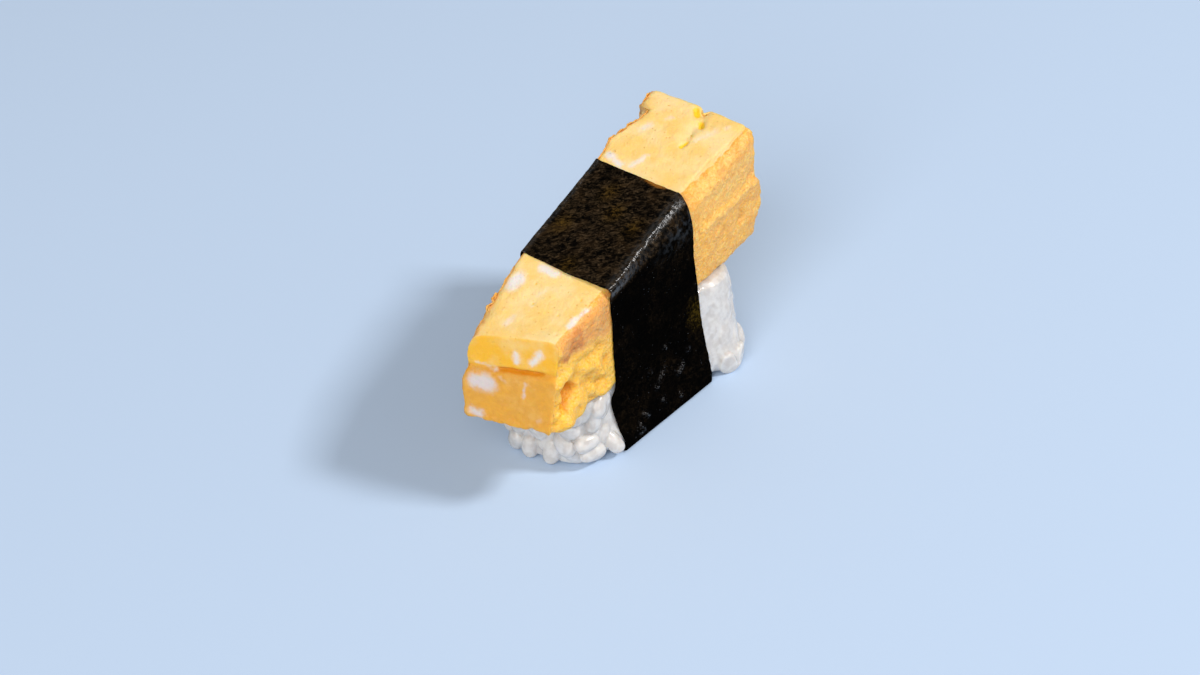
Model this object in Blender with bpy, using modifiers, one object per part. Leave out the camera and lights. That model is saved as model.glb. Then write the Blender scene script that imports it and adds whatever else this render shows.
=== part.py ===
"""Tamago nigiri: a block of rolled omelette on pressed rice, tied round its middle with a strip of nori.

Metres, +Z up. The block lies along X with its cut end toward -X, tilted up toward +X, and its right side
faces -Y. The pieces are modelled with the strip's middle at X = 0 on the surface that they stand on. An
empty then moves them so that the origin is under the middle of the whole.
"""

import math
import random

import bmesh
import bpy
import numpy as np
from mathutils import Matrix, Vector, noise

MM = 0.001
GAP = 0.3 * MM  # kept between pieces that touch
SEED = 23

# Omelette. Stations along X: cut end, near part, strip's near edge, strip's far edge, far part, far end.
STATION_X = np.array((-41.0, -27.0, -16.0, 16.0, 25.0, 41.0)) * MM
TOP_Z = np.array((37.0, 40.7, 43.6, 49.4, 51.4, 54.8)) * MM
BOTTOM_Z = np.array((19.3, 18.2, 17.5, 24.9, 24.4, 24.3)) * MM
RIGHT_Y = np.array((-9.6, -10.2, -10.6, -11.8, -12.1, -12.5)) * MM
LEFT_Y = np.array((10.8, 12.8, 13.2, 14.9, 17.2, 17.7)) * MM
TOP_ROLL = np.array((-1.9, -0.6, 0.3, 0.2, 0.1, 0.0)) * MM  # how far the left top edge rises over the middle
BOTTOM_ROLL = np.array((-0.6, 0.0, 0.0, 0.0, 0.0, 0.0)) * MM  # and the left bottom edge
STATION_EASE = 2.5 * MM  # a section changes this gradually at a station
REFERENCE_HALF_Y = 12.0 * MM  # of the straight block that is bent to the omelette's form
REFERENCE_HALF_Z = 13.0 * MM
CUT_END_X = -36.6 * MM
CUT_END_SKEW = -2.1 * MM  # the cut end's left edge lies further out than its middle
CUT_END_SLANT = 2.4 * MM  # and its top edge further in
FAR_END_X = 40.5 * MM
FAR_END_SKEW = 0.6 * MM
END_STOP = 0.6 * MM  # the mesh is cut this close to both ends
# Radii of the long edges, as (right or left, top or bottom): radii at the stations
EDGE_RADII = {
    (-1, 1): np.array((2.6, 3.0, 2.6, 4.4, 3.0, 2.2)) * MM,
    (1, 1): np.array((5.0, 3.4, 1.6, 1.2, 1.2, 2.2)) * MM,
    (-1, -1): np.array((1.6, 1.6, 1.6, 1.6, 2.2, 3.6)) * MM,
    (1, -1): np.array((2.5, 2.5, 1.6, 1.6, 2.2, 3.0)) * MM,
}
# How far the right side's layers stand out past the far end, or short of it, up its height
FAR_LAYER_Z = np.array((24.5, 26.5, 30.5, 33.5, 36.5, 39.0, 42.0, 54.0)) * MM
FAR_LAYER_REACH = np.array((-2.6, -1.7, -1.6, 0.8, 1.1, 0.3, -1.2, -1.0)) * MM
# How deep the far part's left top edge is torn away, along X
PEEL_X = np.array((22.5, 24.5, 27.2, 29.0, 31.1, 34.8, 36.1)) * MM
PEEL_DEPTH = np.array((0.0, 0.8, 2.0, 1.9, 2.9, 3.4, 0.3)) * MM
PEEL_Z = (42.0 * MM, 48.5 * MM)  # where the tear starts, and where it is full
SQUEEZE = 0.5 * MM  # of the right top edge by the strip's far edge
SQUEEZE_START_X = (-4.0 * MM, 12.0 * MM)
SQUEEZE_END_X = (26.0 * MM, 18.0 * MM)
SQUEEZE_Z = (36.0 * MM, 46.0 * MM)
CRUMB_SIZE = 3.6 * MM
LENGTH_SPACING = 1.6 * MM  # of the block's mesh along its bare parts
WRAPPED_SPACING = 5.0 * MM  # under the strip
SECTION_SPACING = 1.8 * MM  # and across
# Lumps, and hollows where the height is below 0: centre, radii along X, Y and Z, height (mm)
LUMPS = (
    ((-33.0, -11.0, 19.6), (3.4, 3.0, 2.6), 2.0),
    ((-18.6, -10.6, 19.6), (1.6, 2.5, 1.8), 1.2),
    ((-30.6, -10.0, 26.4), (2.4, 4.0, 2.6), -2.2),
    ((-39.0, 10.0, 25.5), (3.0, 4.0, 3.0), 0.6),
)

# Nori
STRIP_NEAR_X = -15.4 * MM
STRIP_NEAR_SKEW = 0.085  # the strip's near edge lies further in on the left
STRIP_FAR_X = 15.4 * MM
STRIP_FAR_SKEW = 0.065  # its far edge lies further out on the left
STRIP_FAR_CORNER = 1.0 * MM  # further in beyond the right shoulder, between the two places below
STRIP_FAR_CORNER_Y = (-7.0 * MM, -12.5 * MM)
STRIP_FAR_SPREAD = 0.9 * MM  # and further out down on the surface that the nigiri stands on
NORI_THICKNESS = 0.4 * MM
# How far in and down the left (1) and the right (-1) shoulder curve, at the near edge and the far edge
SHOULDER_IN = {1: (1.2 * MM, 1.2 * MM), -1: (0.9 * MM, 3.6 * MM)}
SHOULDER_DOWN = {1: (1.2 * MM, 1.2 * MM), -1: (1.0 * MM, 6.0 * MM)}
FOOT_RADIUS = 0.9 * MM
TUCK = 6.5 * MM  # length of each end folded in under the rice
# How far a side of the strip stands out from the omelette's side, at heights over the surface it stands on
OUTSET_Z = np.array((0.0, 4.0, 7.0, 13.0, 18.0, 26.0, 36.0)) * MM
RIGHT_OUTSET = {"near": (2.1, 1.2, -0.6, -1.7, 0.0, 0.0, 0.0), "far": (3.7, 3.4, 3.0, 2.0, 1.3, 0.7, 0.1)}
LEFT_OUTSET = {"near": (1.4, 0.9, 0.0, -0.9, 0.0, 0.0, 0.0), "far": (2.0, 1.8, 1.4, 0.8, 0.4, 0.1, 0.1)}
OUTSET_EASE = 1.5 * MM

# Rice
RICE_NEAR_X = -27.2 * MM
RICE_NEAR_SKEW = -1.4 * MM
RICE_FAR_X = 29.0 * MM
RICE_PLAN_RADII = {(-1, -1): 6.5 * MM, (-1, 1): 7.5 * MM, (1, -1): 6.5 * MM, (1, 1): 7.5 * MM}  # (end, side)
RICE_HALF_Y = 12.5 * MM  # of the straight block that is bent to the core's form
RICE_HALF_Z = 9.0 * MM
RICE_INSET = 1.0 * MM  # bare core inside the strip's line
RICE_EDGE_INSET = 0.8 * MM  # and more toward its top and bottom edges
RICE_SPREAD = 1.3 * MM  # the rice beyond the strip's far edge swells out again
RICE_FAR_FOOT = 1.6 * MM  # and most at the bottom of its right side
RICE_FAR_PART_X = (16.5 * MM, 20.0 * MM)  # where that starts, and where it is full
RICE_NEAR_TAPER = 2.0 * MM  # the right side draws in at the bottom before the strip's near edge
RICE_NEAR_PART_X = (-15.0 * MM, -20.0 * MM)
RICE_BOTTOM_Z = (8.0 * MM, 1.0 * MM)  # where what the rice does at its bottom starts, and where it is full
RICE_SKEW_START_X = -8.0 * MM
CORE_BOTTOM_Z = 0.9 * MM
CORE_SPACING = 3.4 * MM  # of the core's mesh
SITE_SPACING = 0.9 * MM  # of the places where a grain may lie
GRAIN_RADII = (3.4 * MM, 2.1 * MM, 1.8 * MM)
GRAIN_REACH = 1.7 * MM  # from a grain's middle to the middles of its ends
# How far apart the middles and ends of neighbouring grains lie, and how far out the grains' middles lie
GRAIN_LAYERS = ((2.9 * MM, 0.1 * MM), (2.1 * MM, -0.3 * MM))
STRIP_CLEARANCE = 0.6 * MM  # grains are laid on faces this far from the strip's edges
STEEPEST_NORMAL_Z = 0.75  # and not on the core's top and bottom
BESIDE_STRIP = 3.6 * MM  # grains this close to its near edge stand upright
PRESSED_DEPTH = 0.55 * MM  # beyond this the far side's grains are squeezed back
PRESSED_SHARE = 0.22  # to this share of what they stood out
PRESSED_NORMAL_Y = 0.6  # on its right and left side, not on its end
ANY_WAY = 90.0  # degrees that a grain may lean from upright
UPRIGHT_LEAN = 28.0
NEAR_END_LEAN = 40.0

COLOURS = {"egg": (0.93, 0.62, 0.20), "nori": (0.012, 0.012, 0.009), "rice": (0.75, 0.73, 0.70)}


def eased(low, high, value):
    """0 at low, 1 at high and eased between them, also where low is the larger."""
    t = np.clip((value - low) / (high - low), 0.0, 1.0)
    return t * t * (3.0 - 2.0 * t)


def mix(a, b, share):
    return a + (b - a) * share


def along(x, values):
    """A station value at x, with the bends at the stations eased."""
    shifts = np.linspace(-STATION_EASE, STATION_EASE, 7)
    return np.mean([np.interp(x + shift, STATION_X, values) for shift in shifts], axis=0)


def gridded_box(stops):
    """A box whose edges along X, Y and Z are cut at these stops, as a bmesh of quads."""
    bm = bmesh.new()
    bmesh.ops.create_cube(bm, size=2.0)
    for axis, places in enumerate(stops):
        full = [e for e in bm.edges if abs((e.verts[1].co - e.verts[0].co)[axis]) > 1.9]
        bmesh.ops.subdivide_edges(bm, edges=full, cuts=len(places) - 2, use_grid_fill=True)
    for vert in bm.verts:
        shares = [(vert.co[axis] + 1.0) / 2.0 for axis in range(3)]
        vert.co = [places[round(share * (len(places) - 1))] for share, places in zip(shares, stops)]
    return bm


def positions(bm):
    return np.array([vert.co for vert in bm.verts])


def place(bm, points):
    for vert, point in zip(bm.verts, points):
        vert.co = point


def round_corner(a, b, corner_a, corner_b):
    """Rounds the corner of a section that lies beyond (corner_a, corner_b), the arc's centre."""
    side_a = np.sign(corner_a)
    side_b = np.sign(corner_b)
    out_a = (a - corner_a) * side_a
    out_b = (b - corner_b) * side_b
    inside = (out_a > 0.0) & (out_b > 0.0)
    reach = np.maximum(out_a, out_b)
    length = np.maximum(np.hypot(out_a, out_b), 1e-9)
    shrink = np.where(inside, reach / length, 1.0)
    return np.where(inside, corner_a + side_a * out_a * shrink, a), np.where(
        inside, corner_b + side_b * out_b * shrink, b
    )


def stops_between(low, high, spacing):
    return list(np.linspace(low, high, max(2, round((high - low) / spacing) + 1)))


def link(obj, collection, material):
    obj.data.materials.clear()
    obj.data.materials.append(material)
    collection.objects.link(obj)
    obj.data.shade_smooth()
    obj.data.set_sharp_from_angle(angle=math.radians(40))
    return obj


def make_material(name, roughness):
    material = bpy.data.materials.new(name)
    material.use_nodes = True
    shader = material.node_tree.nodes["Principled BSDF"]
    shader.inputs["Base Color"].default_value = (*COLOURS[name], 1.0)
    shader.inputs["Roughness"].default_value = roughness
    shader.inputs["Metallic"].default_value = 0.0
    material.diffuse_color = (*COLOURS[name], 1.0)
    return material


# --- Omelette ---------------------------------------------------------------------------------------------


def omelette_warp(points):
    """Bends a reference block of the omelette's mean size to its tapered, tilted form."""
    x_ref, y_ref, z_ref = points.T
    for (side, level), radii in EDGE_RADII.items():
        inner = along(x_ref, radii)
        corner_y = side * (REFERENCE_HALF_Y - inner)
        corner_z = level * (REFERENCE_HALF_Z - inner)
        y_ref, z_ref = round_corner(y_ref, z_ref, corner_y, corner_z)
    v = y_ref / REFERENCE_HALF_Y
    w = z_ref / REFERENCE_HALF_Z
    cut_end = CUT_END_X + CUT_END_SKEW * v + CUT_END_SLANT * w
    far_end = FAR_END_X + FAR_END_SKEW * v
    near_edge, far_edge = STATION_X[2], STATION_X[3]
    near_share = np.clip((x_ref - near_edge) / (CUT_END_X - near_edge), 0.0, None)
    far_share = np.clip((x_ref - far_edge) / (FAR_END_X - far_edge), 0.0, None)
    x = np.clip(x_ref, near_edge, far_edge)
    x = x + near_share * (cut_end - near_edge) + far_share * (far_end - far_edge)
    y = mix(along(x, RIGHT_Y), along(x, LEFT_Y), (v + 1.0) / 2.0)
    top = along(x, TOP_Z) + along(x, TOP_ROLL) * v
    bottom = along(x, BOTTOM_Z) + along(x, BOTTOM_ROLL) * v
    z = mix(bottom, top, (w + 1.0) / 2.0)
    x = x + np.minimum(far_share, 1.0) * eased(0.1, -0.9, v) * np.interp(z, FAR_LAYER_Z, FAR_LAYER_REACH)
    y = y - np.interp(x, PEEL_X, PEEL_DEPTH) * eased(0.1, 1.0, v) * eased(*PEEL_Z, z)
    squeezed = eased(*SQUEEZE_START_X, x) * eased(*SQUEEZE_END_X, x) * eased(*SQUEEZE_Z, z)
    y = y + SQUEEZE * squeezed * eased(0.1, -0.9, v)
    return np.column_stack((x, y, z))


def bump(points, centre, radii):
    """1 at the centre (mm), falling off over the radii (mm) along X, Y and Z."""
    away = (points / MM - np.array(centre)) / np.array(radii)
    return np.exp(-np.sum(away * away, axis=1))


def groove(distance, width):
    return np.exp(-((distance / width) ** 2))


def omelette_relief(points, normals):
    """How far each point moves out along its normal: seams between the rolled layers, lumps and hollows."""
    x, y, z = (points / MM).T
    right = eased(-0.2, -0.8, normals[:, 1])
    left = eased(0.2, 0.8, normals[:, 1])
    top = eased(0.3, 0.8, normals[:, 2])
    cut = eased(-0.3, -0.8, normals[:, 0])
    near = eased(-16.6, -19.5, x)
    far = eased(16.6, 19.5, x)
    # the far part's right side: a ridge along the seam at mid height, over a layer that stands out
    seam = z - 39.8 - 0.06 * (x - 16.0) - 0.25 * np.sin(0.6 * x)
    out = far * right * 0.45 * groove(seam + 0.3, 1.1)
    out += far * right * 0.4 * eased(1.0, -1.5, seam) * eased(25.0, 33.0, z)
    # the cut end: a seam under its middle, with the lower layer standing out
    crease = z - 31.4 + 0.12 * y
    out -= cut * 0.5 * groove(crease, 0.7)
    out += cut * 0.35 * eased(0.0, -1.6, crease)
    # crumbly lower half of the near part's right side
    crumb = eased(36.0, 31.0, z + 0.45 * (x + 22.0)) * near * right
    rough = np.array([noise.fractal(Vector(p / CRUMB_SIZE), 0.8, 2.2, 3) for p in points])
    out += crumb * (1.8 * rough - 0.3)
    out += (near + far) * (0.2 + 0.25 * left) * rough
    for centre, radii, height in LUMPS:
        out += height * bump(points, centre, radii)
    # open seam in the far part's top
    out -= top * 0.6 * groove(y - 0.4 - 0.2 * np.sin(x), 1.2) * eased(27.0, 30.0, x)
    return out * MM


def make_omelette(collection, material):
    near_edge, far_edge = STATION_X[2], STATION_X[3]
    lengths = [CUT_END_X, CUT_END_X + END_STOP]
    lengths += stops_between(CUT_END_X + 2.0 * END_STOP, near_edge, LENGTH_SPACING)
    lengths += stops_between(near_edge, far_edge, WRAPPED_SPACING)[1:]
    lengths += stops_between(far_edge, FAR_END_X - 2.0 * END_STOP, LENGTH_SPACING)[1:]
    lengths += [FAR_END_X - END_STOP, FAR_END_X]
    widths = stops_between(-REFERENCE_HALF_Y, REFERENCE_HALF_Y, SECTION_SPACING)
    heights = stops_between(-REFERENCE_HALF_Z, REFERENCE_HALF_Z, SECTION_SPACING)
    bm = gridded_box((lengths, widths, heights))
    place(bm, omelette_warp(positions(bm)))
    bm.normal_update()
    normals = np.array([vert.normal for vert in bm.verts])
    points = positions(bm)
    place(bm, points + normals * omelette_relief(points, normals)[:, None])
    mesh = bpy.data.meshes.new("egg")
    bm.to_mesh(mesh)
    bm.free()
    return link(bpy.data.objects.new("egg", mesh), collection, material)


# --- Nori -------------------------------------------------------------------------------------------------


def strip_share(x):
    return np.clip((x - STRIP_NEAR_X) / (STRIP_FAR_X - STRIP_NEAR_X), 0.0, 1.0)


def strip_near_edge(y):
    """X of the strip's near edge."""
    return STRIP_NEAR_X + STRIP_NEAR_SKEW * np.clip(y, 0.0, None)


def strip_far_edge(y, z):
    """X of the strip's far edge."""
    spread = STRIP_FAR_SPREAD * eased(TOP_Z[3], 0.0, z)
    return STRIP_FAR_X + STRIP_FAR_SKEW * y - STRIP_FAR_CORNER * eased(*STRIP_FAR_CORNER_Y, y) + spread


def strip_side_y(x, z, side):
    """Y of the strip's middle surface on its right (side -1) or left (side 1), at x and height z."""
    outsets = RIGHT_OUTSET if side < 0 else LEFT_OUTSET
    shifts = np.linspace(-OUTSET_EASE, OUTSET_EASE, 7)
    near, far = (
        np.mean([np.interp(z + shift, OUTSET_Z, np.array(outsets[edge]) * MM) for shift in shifts], axis=0)
        for edge in ("near", "far")
    )
    egg_side = along(x, RIGHT_Y if side < 0 else LEFT_Y)
    return egg_side + side * (GAP + NORI_THICKNESS / 2.0 + mix(near, far, strip_share(x)))


def strip_path(x):
    """The strip's middle line across x, from its left end under the rice over the top to its right end."""
    level = NORI_THICKNESS / 2.0
    top = along(x, TOP_Z) + GAP + level
    halves = []
    for side in (1, -1):
        inward = mix(*SHOULDER_IN[side], strip_share(x))
        down = mix(*SHOULDER_DOWN[side], strip_share(x))
        foot = strip_side_y(x, FOOT_RADIUS, side)
        half = [(foot - side * (FOOT_RADIUS + TUCK * share), level) for share in (1.0, 0.66, 0.33)]
        for angle in np.radians((0.0, 30.0, 60.0)):
            out = FOOT_RADIUS * (math.sin(angle) - 1.0)
            half.append((foot + side * out, level + FOOT_RADIUS * (1.0 - math.cos(angle))))
        side_top = top - down
        for z in np.linspace(level + FOOT_RADIUS, side_top, 15):
            half.append((strip_side_y(x, z, side), z))
        shoulder = strip_side_y(x, side_top, side)
        for angle in np.radians((22.5, 45.0, 67.5, 90.0)):
            out = inward * (math.cos(angle) - 1.0)
            half.append((shoulder + side * out, side_top + down * math.sin(angle)))
        halves.append(half)
    left, right = halves
    middle = [mix(np.array(left[-1]), np.array(right[-1]), share) for share in np.linspace(0.0, 1.0, 8)[1:-1]]
    return left + [tuple(point) for point in middle] + right[::-1]


def make_nori(collection, material):
    columns = 9
    rows = len(strip_path(0.0))
    bm = bmesh.new()
    bmesh.ops.create_grid(bm, x_segments=columns - 1, y_segments=rows - 1, size=1.0)
    for vert in bm.verts:
        share = (vert.co.x + 1.0) / 2.0
        row = round((vert.co.y + 1.0) / 2.0 * (rows - 1))
        straight = strip_path(mix(STRIP_NEAR_X, STRIP_FAR_X, share))[row]
        x = mix(strip_near_edge(straight[0]), strip_far_edge(*straight), share)
        vert.co = (x, *strip_path(x)[row])
    bmesh.ops.recalc_face_normals(bm, faces=bm.faces)
    mesh = bpy.data.meshes.new("nori")
    bm.to_mesh(mesh)
    bm.free()
    nori = link(bpy.data.objects.new("nori", mesh), collection, material)
    solidify = nori.modifiers.new("thickness", "SOLIDIFY")
    solidify.thickness = NORI_THICKNESS
    solidify.offset = 0.0
    return nori


# --- Rice -------------------------------------------------------------------------------------------------


def rice_warp(points):
    """Bends a block of half sizes 1 in Y and Z to the pressed rice's core under the omelette."""
    x_ref, v, w = points.T
    reach = (RICE_FAR_X - RICE_NEAR_X) / 2.0
    middle = (RICE_FAR_X + RICE_NEAR_X) / 2.0
    a, b = x_ref - middle, v * RICE_HALF_Y
    for (end, side), radius in RICE_PLAN_RADII.items():
        a, b = round_corner(a, b, end * (reach - radius), side * (RICE_HALF_Y - radius))
    v = b / RICE_HALF_Y
    x = middle + a + RICE_NEAR_SKEW * v * eased(RICE_SKEW_START_X, RICE_NEAR_X, x_ref)
    top = along(x, BOTTOM_Z) - 2.0 * GAP
    z = mix(CORE_BOTTOM_Z, top, (w + 1.0) / 2.0)
    far_part = eased(*RICE_FAR_PART_X, x)
    near_part = eased(*RICE_NEAR_PART_X, x)
    inset = RICE_INSET + RICE_EDGE_INSET * np.abs(w) ** 6 - RICE_SPREAD * far_part
    drawn_in = (RICE_NEAR_TAPER * near_part - RICE_FAR_FOOT * far_part) * eased(*RICE_BOTTOM_Z, z)
    right = strip_side_y(x, z, -1.0) + inset + drawn_in
    left = strip_side_y(x, z, 1.0) - inset
    y = mix(right, left, (v + 1.0) / 2.0)
    return np.column_stack((x, y, z))


def core_mesh(spacing):
    """The core as a bmesh of faces about this size."""
    stops = (
        stops_between(RICE_NEAR_X, RICE_FAR_X, spacing),
        stops_between(-1.0, 1.0, spacing / RICE_HALF_Y),
        stops_between(-1.0, 1.0, spacing / RICE_HALF_Z),
    )
    bm = gridded_box(stops)
    place(bm, rice_warp(positions(bm)))
    bm.normal_update()
    return bm


def grain_direction(centre, normal, draw):
    """Along the surface: upright on the far part, near end and beside the strip, any way elsewhere."""
    lean = ANY_WAY
    if centre.x > STRIP_NEAR_X - BESIDE_STRIP:
        lean = UPRIGHT_LEAN
    elif normal.x < -0.7:
        lean = NEAR_END_LEAN
    tangent = normal.cross(Vector((0.0, 0.0, 1.0))).normalized()
    turn = Matrix.Rotation(math.radians(90.0 + draw.uniform(-lean, lean)), 3, normal)
    return (turn @ tangent + normal * draw.uniform(-0.25, 0.30)).normalized()


def grain_sites(draw):
    """Middles, normals and directions of grains laid close over the core's bare ends and sides."""
    bm = core_mesh(SITE_SPACING)
    bare = []
    for face in bm.faces:
        centre = face.calc_center_median()
        before = STRIP_NEAR_X - STRIP_CLEARANCE
        beyond = strip_far_edge(*centre.yz) + STRIP_CLEARANCE
        if (centre.x < before or centre.x > beyond) and abs(face.normal.z) < STEEPEST_NORMAL_Z:
            bare.append((centre.copy(), face.normal.copy()))
    bm.free()
    sites = []
    taken = np.empty((0, 3))
    for spacing, depth in GRAIN_LAYERS:
        draw.shuffle(bare)
        for centre, normal in bare:
            lengthwise = grain_direction(centre, normal, draw)
            ends = np.array([centre + lengthwise * step for step in (-GRAIN_REACH, 0.0, GRAIN_REACH)])
            gaps = np.linalg.norm(taken[:, None] - ends, axis=2)
            if not len(taken) or gaps.min() > spacing:
                sites.append((centre + normal * depth, normal, lengthwise))
                taken = np.vstack((taken, ends))
    return sites


def grain_matrix(middle, normal, lengthwise, draw):
    """Lays a ball of radius 1 as a grain."""
    sideways = normal.cross(lengthwise).normalized()
    outward = lengthwise.cross(sideways)
    axes = Matrix((lengthwise, sideways, outward)).transposed().to_4x4()
    sizes = [radius * draw.uniform(0.88, 1.08) for radius in GRAIN_RADII]
    return Matrix.Translation(middle) @ axes @ Matrix.Diagonal((*sizes, 1.0))


def pressed(points, middle, normal):
    """The grain's points squeezed back toward its middle."""
    over = np.clip((points - np.array(middle)) @ np.array(normal) - PRESSED_DEPTH, 0.0, None)
    return points - np.outer(over * (1.0 - PRESSED_SHARE), np.array(normal))


def fitted_grain(points):
    """The grain's points moved clear of the strip, the omelette and the surface below, or None."""
    moved = points.copy()
    if moved[:, 0].mean() < 0.0:
        moved[:, 0] += min(0.0, STRIP_NEAR_X - GAP - moved[:, 0].max())
    else:
        moved[:, 0] += max(0.0, (strip_far_edge(*moved[:, 1:].T) + GAP - moved[:, 0]).max())
    moved[:, 2] += max(0.0, -moved[:, 2].min())
    room = along(moved[:, 0], BOTTOM_Z) - 2.5 * GAP - moved[:, 2]
    moved[:, 2] += min(0.0, room.min())
    return moved if moved[:, 2].min() > -1e-6 else None


def make_grains(collection):
    draw = random.Random(SEED)
    for middle, normal, lengthwise in grain_sites(draw):
        bm = bmesh.new()
        bmesh.ops.create_uvsphere(bm, u_segments=7, v_segments=5, radius=1.0)
        bm.transform(Matrix.Rotation(math.radians(90), 4, "Y"))
        bm.transform(grain_matrix(middle, normal, lengthwise, draw))
        laid = positions(bm)
        if middle.x > 0.0 and abs(normal.y) > PRESSED_NORMAL_Y:
            laid = pressed(laid, middle, normal)
        moved = fitted_grain(laid)
        if moved is not None:
            place(bm, moved)
            mesh = bpy.data.meshes.new("grain")
            bm.to_mesh(mesh)
            collection.objects.link(bpy.data.objects.new("grain", mesh))
        bm.free()


def keep_largest_body(mesh):
    """Drops loose scraps and the inner skins of sealed hollows."""
    bm = bmesh.new()
    bm.from_mesh(mesh)
    unseen = set(bm.verts)
    bodies = []
    while unseen:
        stack = [unseen.pop()]
        body = set(stack)
        while stack:
            for edge in stack.pop().link_edges:
                for vert in edge.verts:
                    if vert in unseen:
                        unseen.remove(vert)
                        body.add(vert)
                        stack.append(vert)
        bodies.append(body)
    largest = max(bodies, key=len)
    dropped = [vert for body in bodies if body is not largest for vert in body]
    bmesh.ops.delete(bm, geom=dropped, context="VERTS")
    bmesh.ops.triangulate(bm, faces=bm.faces)
    bm.to_mesh(mesh)
    bm.free()


def make_rice(collection, cutters, material):
    bm = core_mesh(CORE_SPACING)
    mesh = bpy.data.meshes.new("rice core")
    bm.to_mesh(mesh)
    bm.free()
    core = bpy.data.objects.new("rice core", mesh)
    collection.objects.link(core)
    make_grains(cutters)
    union = core.modifiers.new("grains", "BOOLEAN")
    union.operation = "UNION"
    union.operand_type = "COLLECTION"
    union.collection = cutters
    union.solver = "MANIFOLD"
    graph = bpy.context.evaluated_depsgraph_get()
    joined = bpy.data.meshes.new_from_object(core.evaluated_get(graph))
    joined.name = "rice"
    keep_largest_body(joined)
    for helper in [core, *cutters.objects]:
        bpy.data.objects.remove(helper)
    return link(bpy.data.objects.new("rice", joined), collection, material)


def lowest_and_highest(objects):
    graph = bpy.context.evaluated_depsgraph_get()
    corners = []
    for obj in objects:
        mesh = bpy.data.meshes.new_from_object(obj.evaluated_get(graph))
        corners += [vert.co.copy() for vert in mesh.vertices]
        bpy.data.meshes.remove(mesh)
    return np.min(corners, axis=0), np.max(corners, axis=0)


def main():
    for obj in list(bpy.data.objects):
        bpy.data.objects.remove(obj)
    parts = bpy.data.collections.new("tamago nigiri")
    cutters = bpy.data.collections.new("grains")
    bpy.context.scene.collection.children.link(parts)
    bpy.context.scene.collection.children.link(cutters)
    pieces = [
        make_omelette(parts, make_material("egg", 0.5)),
        make_nori(parts, make_material("nori", 0.35)),
        make_rice(parts, cutters, make_material("rice", 0.4)),
    ]
    lowest, highest = lowest_and_highest(pieces)
    whole = bpy.data.objects.new("whole", None)
    whole.location = (-(lowest[0] + highest[0]) / 2.0, -(lowest[1] + highest[1]) / 2.0, -lowest[2])
    parts.objects.link(whole)
    for piece in pieces:
        piece.parent = whole


if __name__ == "__main__":
    main()
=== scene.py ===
"""Looks of a tamago nigiri: rolled omelette on pressed rice, tied round with a strip of nori.

Metres, +Z up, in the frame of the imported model. The form functions work in millimetres, with the strip's
middle at X = 0, and `shift` takes them to the frame.
"""

import math
import random
from types import SimpleNamespace

import bmesh
import bpy
import numpy as np
from mathutils import Matrix, Vector, noise


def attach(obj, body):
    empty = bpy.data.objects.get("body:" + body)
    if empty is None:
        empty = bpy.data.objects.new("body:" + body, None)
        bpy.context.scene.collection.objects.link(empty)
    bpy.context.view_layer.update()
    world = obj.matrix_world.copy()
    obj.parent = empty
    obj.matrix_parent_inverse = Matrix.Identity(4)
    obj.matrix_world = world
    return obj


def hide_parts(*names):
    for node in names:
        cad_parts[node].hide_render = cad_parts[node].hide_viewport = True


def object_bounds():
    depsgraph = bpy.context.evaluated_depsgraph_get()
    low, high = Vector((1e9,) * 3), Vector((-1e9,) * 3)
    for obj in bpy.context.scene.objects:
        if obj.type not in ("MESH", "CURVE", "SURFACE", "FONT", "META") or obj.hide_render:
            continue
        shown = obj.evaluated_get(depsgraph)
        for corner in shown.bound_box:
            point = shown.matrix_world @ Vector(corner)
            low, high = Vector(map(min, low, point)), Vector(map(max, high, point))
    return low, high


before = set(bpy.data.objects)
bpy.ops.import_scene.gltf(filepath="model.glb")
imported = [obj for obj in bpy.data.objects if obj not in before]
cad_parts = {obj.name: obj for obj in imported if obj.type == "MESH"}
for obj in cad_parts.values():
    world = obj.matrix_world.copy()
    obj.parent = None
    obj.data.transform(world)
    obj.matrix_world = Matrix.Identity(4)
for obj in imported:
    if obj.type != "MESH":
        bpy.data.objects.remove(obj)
cad_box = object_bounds()

MM = 0.001
# The form's origin in the frame
shift = Vector((-0.0305, -0.6894, 0.0)) * MM

# --- The form, as in the solids (mm) ---

# Stations along the omelette: cut end, near part, strip's near edge, strip's far edge, far part, far end
STATION_X = (-41.0, -27.0, -16.0, 16.0, 25.0, 41.0)
TOP_Z = (37.0, 40.7, 43.6, 49.4, 51.4, 54.8)
BOTTOM_Z = (19.3, 18.2, 17.5, 24.9, 24.4, 24.3)
RIGHT_Y = (-9.6, -10.2, -10.6, -11.8, -12.1, -12.5)
LEFT_Y = (10.8, 12.8, 13.2, 14.9, 17.2, 17.7)
TOP_ROLL = (-1.9, -0.6, 0.3, 0.2, 0.1, 0.0)  # how far the left top edge rises over the middle
BOTTOM_ROLL = (-0.6, 0.0, 0.0, 0.0, 0.0, 0.0)  # and the left bottom edge
STATION_EASE = 2.5
HALF_Y = 12.0  # of the straight block that is bent to the omelette's form
HALF_Z = 13.0
# Radii of the long edges, as (right or left, top or bottom): radii at the stations
EDGE_RADII = {
    (-1, 1): (2.6, 3.0, 2.6, 4.4, 3.0, 2.2),
    (1, 1): (5.0, 3.4, 1.6, 1.2, 1.2, 2.2),
    (-1, -1): (1.6, 1.6, 1.6, 1.6, 2.2, 3.6),
    (1, -1): (2.5, 2.5, 1.6, 1.6, 2.2, 3.0),
}
CUT_END_X = -36.6
CUT_END_SKEW = -2.1  # the cut end's left edge lies further out than its middle
CUT_END_SLANT = 2.4  # and its top edge further in
FAR_END_X = 40.5
FAR_END_SKEW = 0.6
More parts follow.
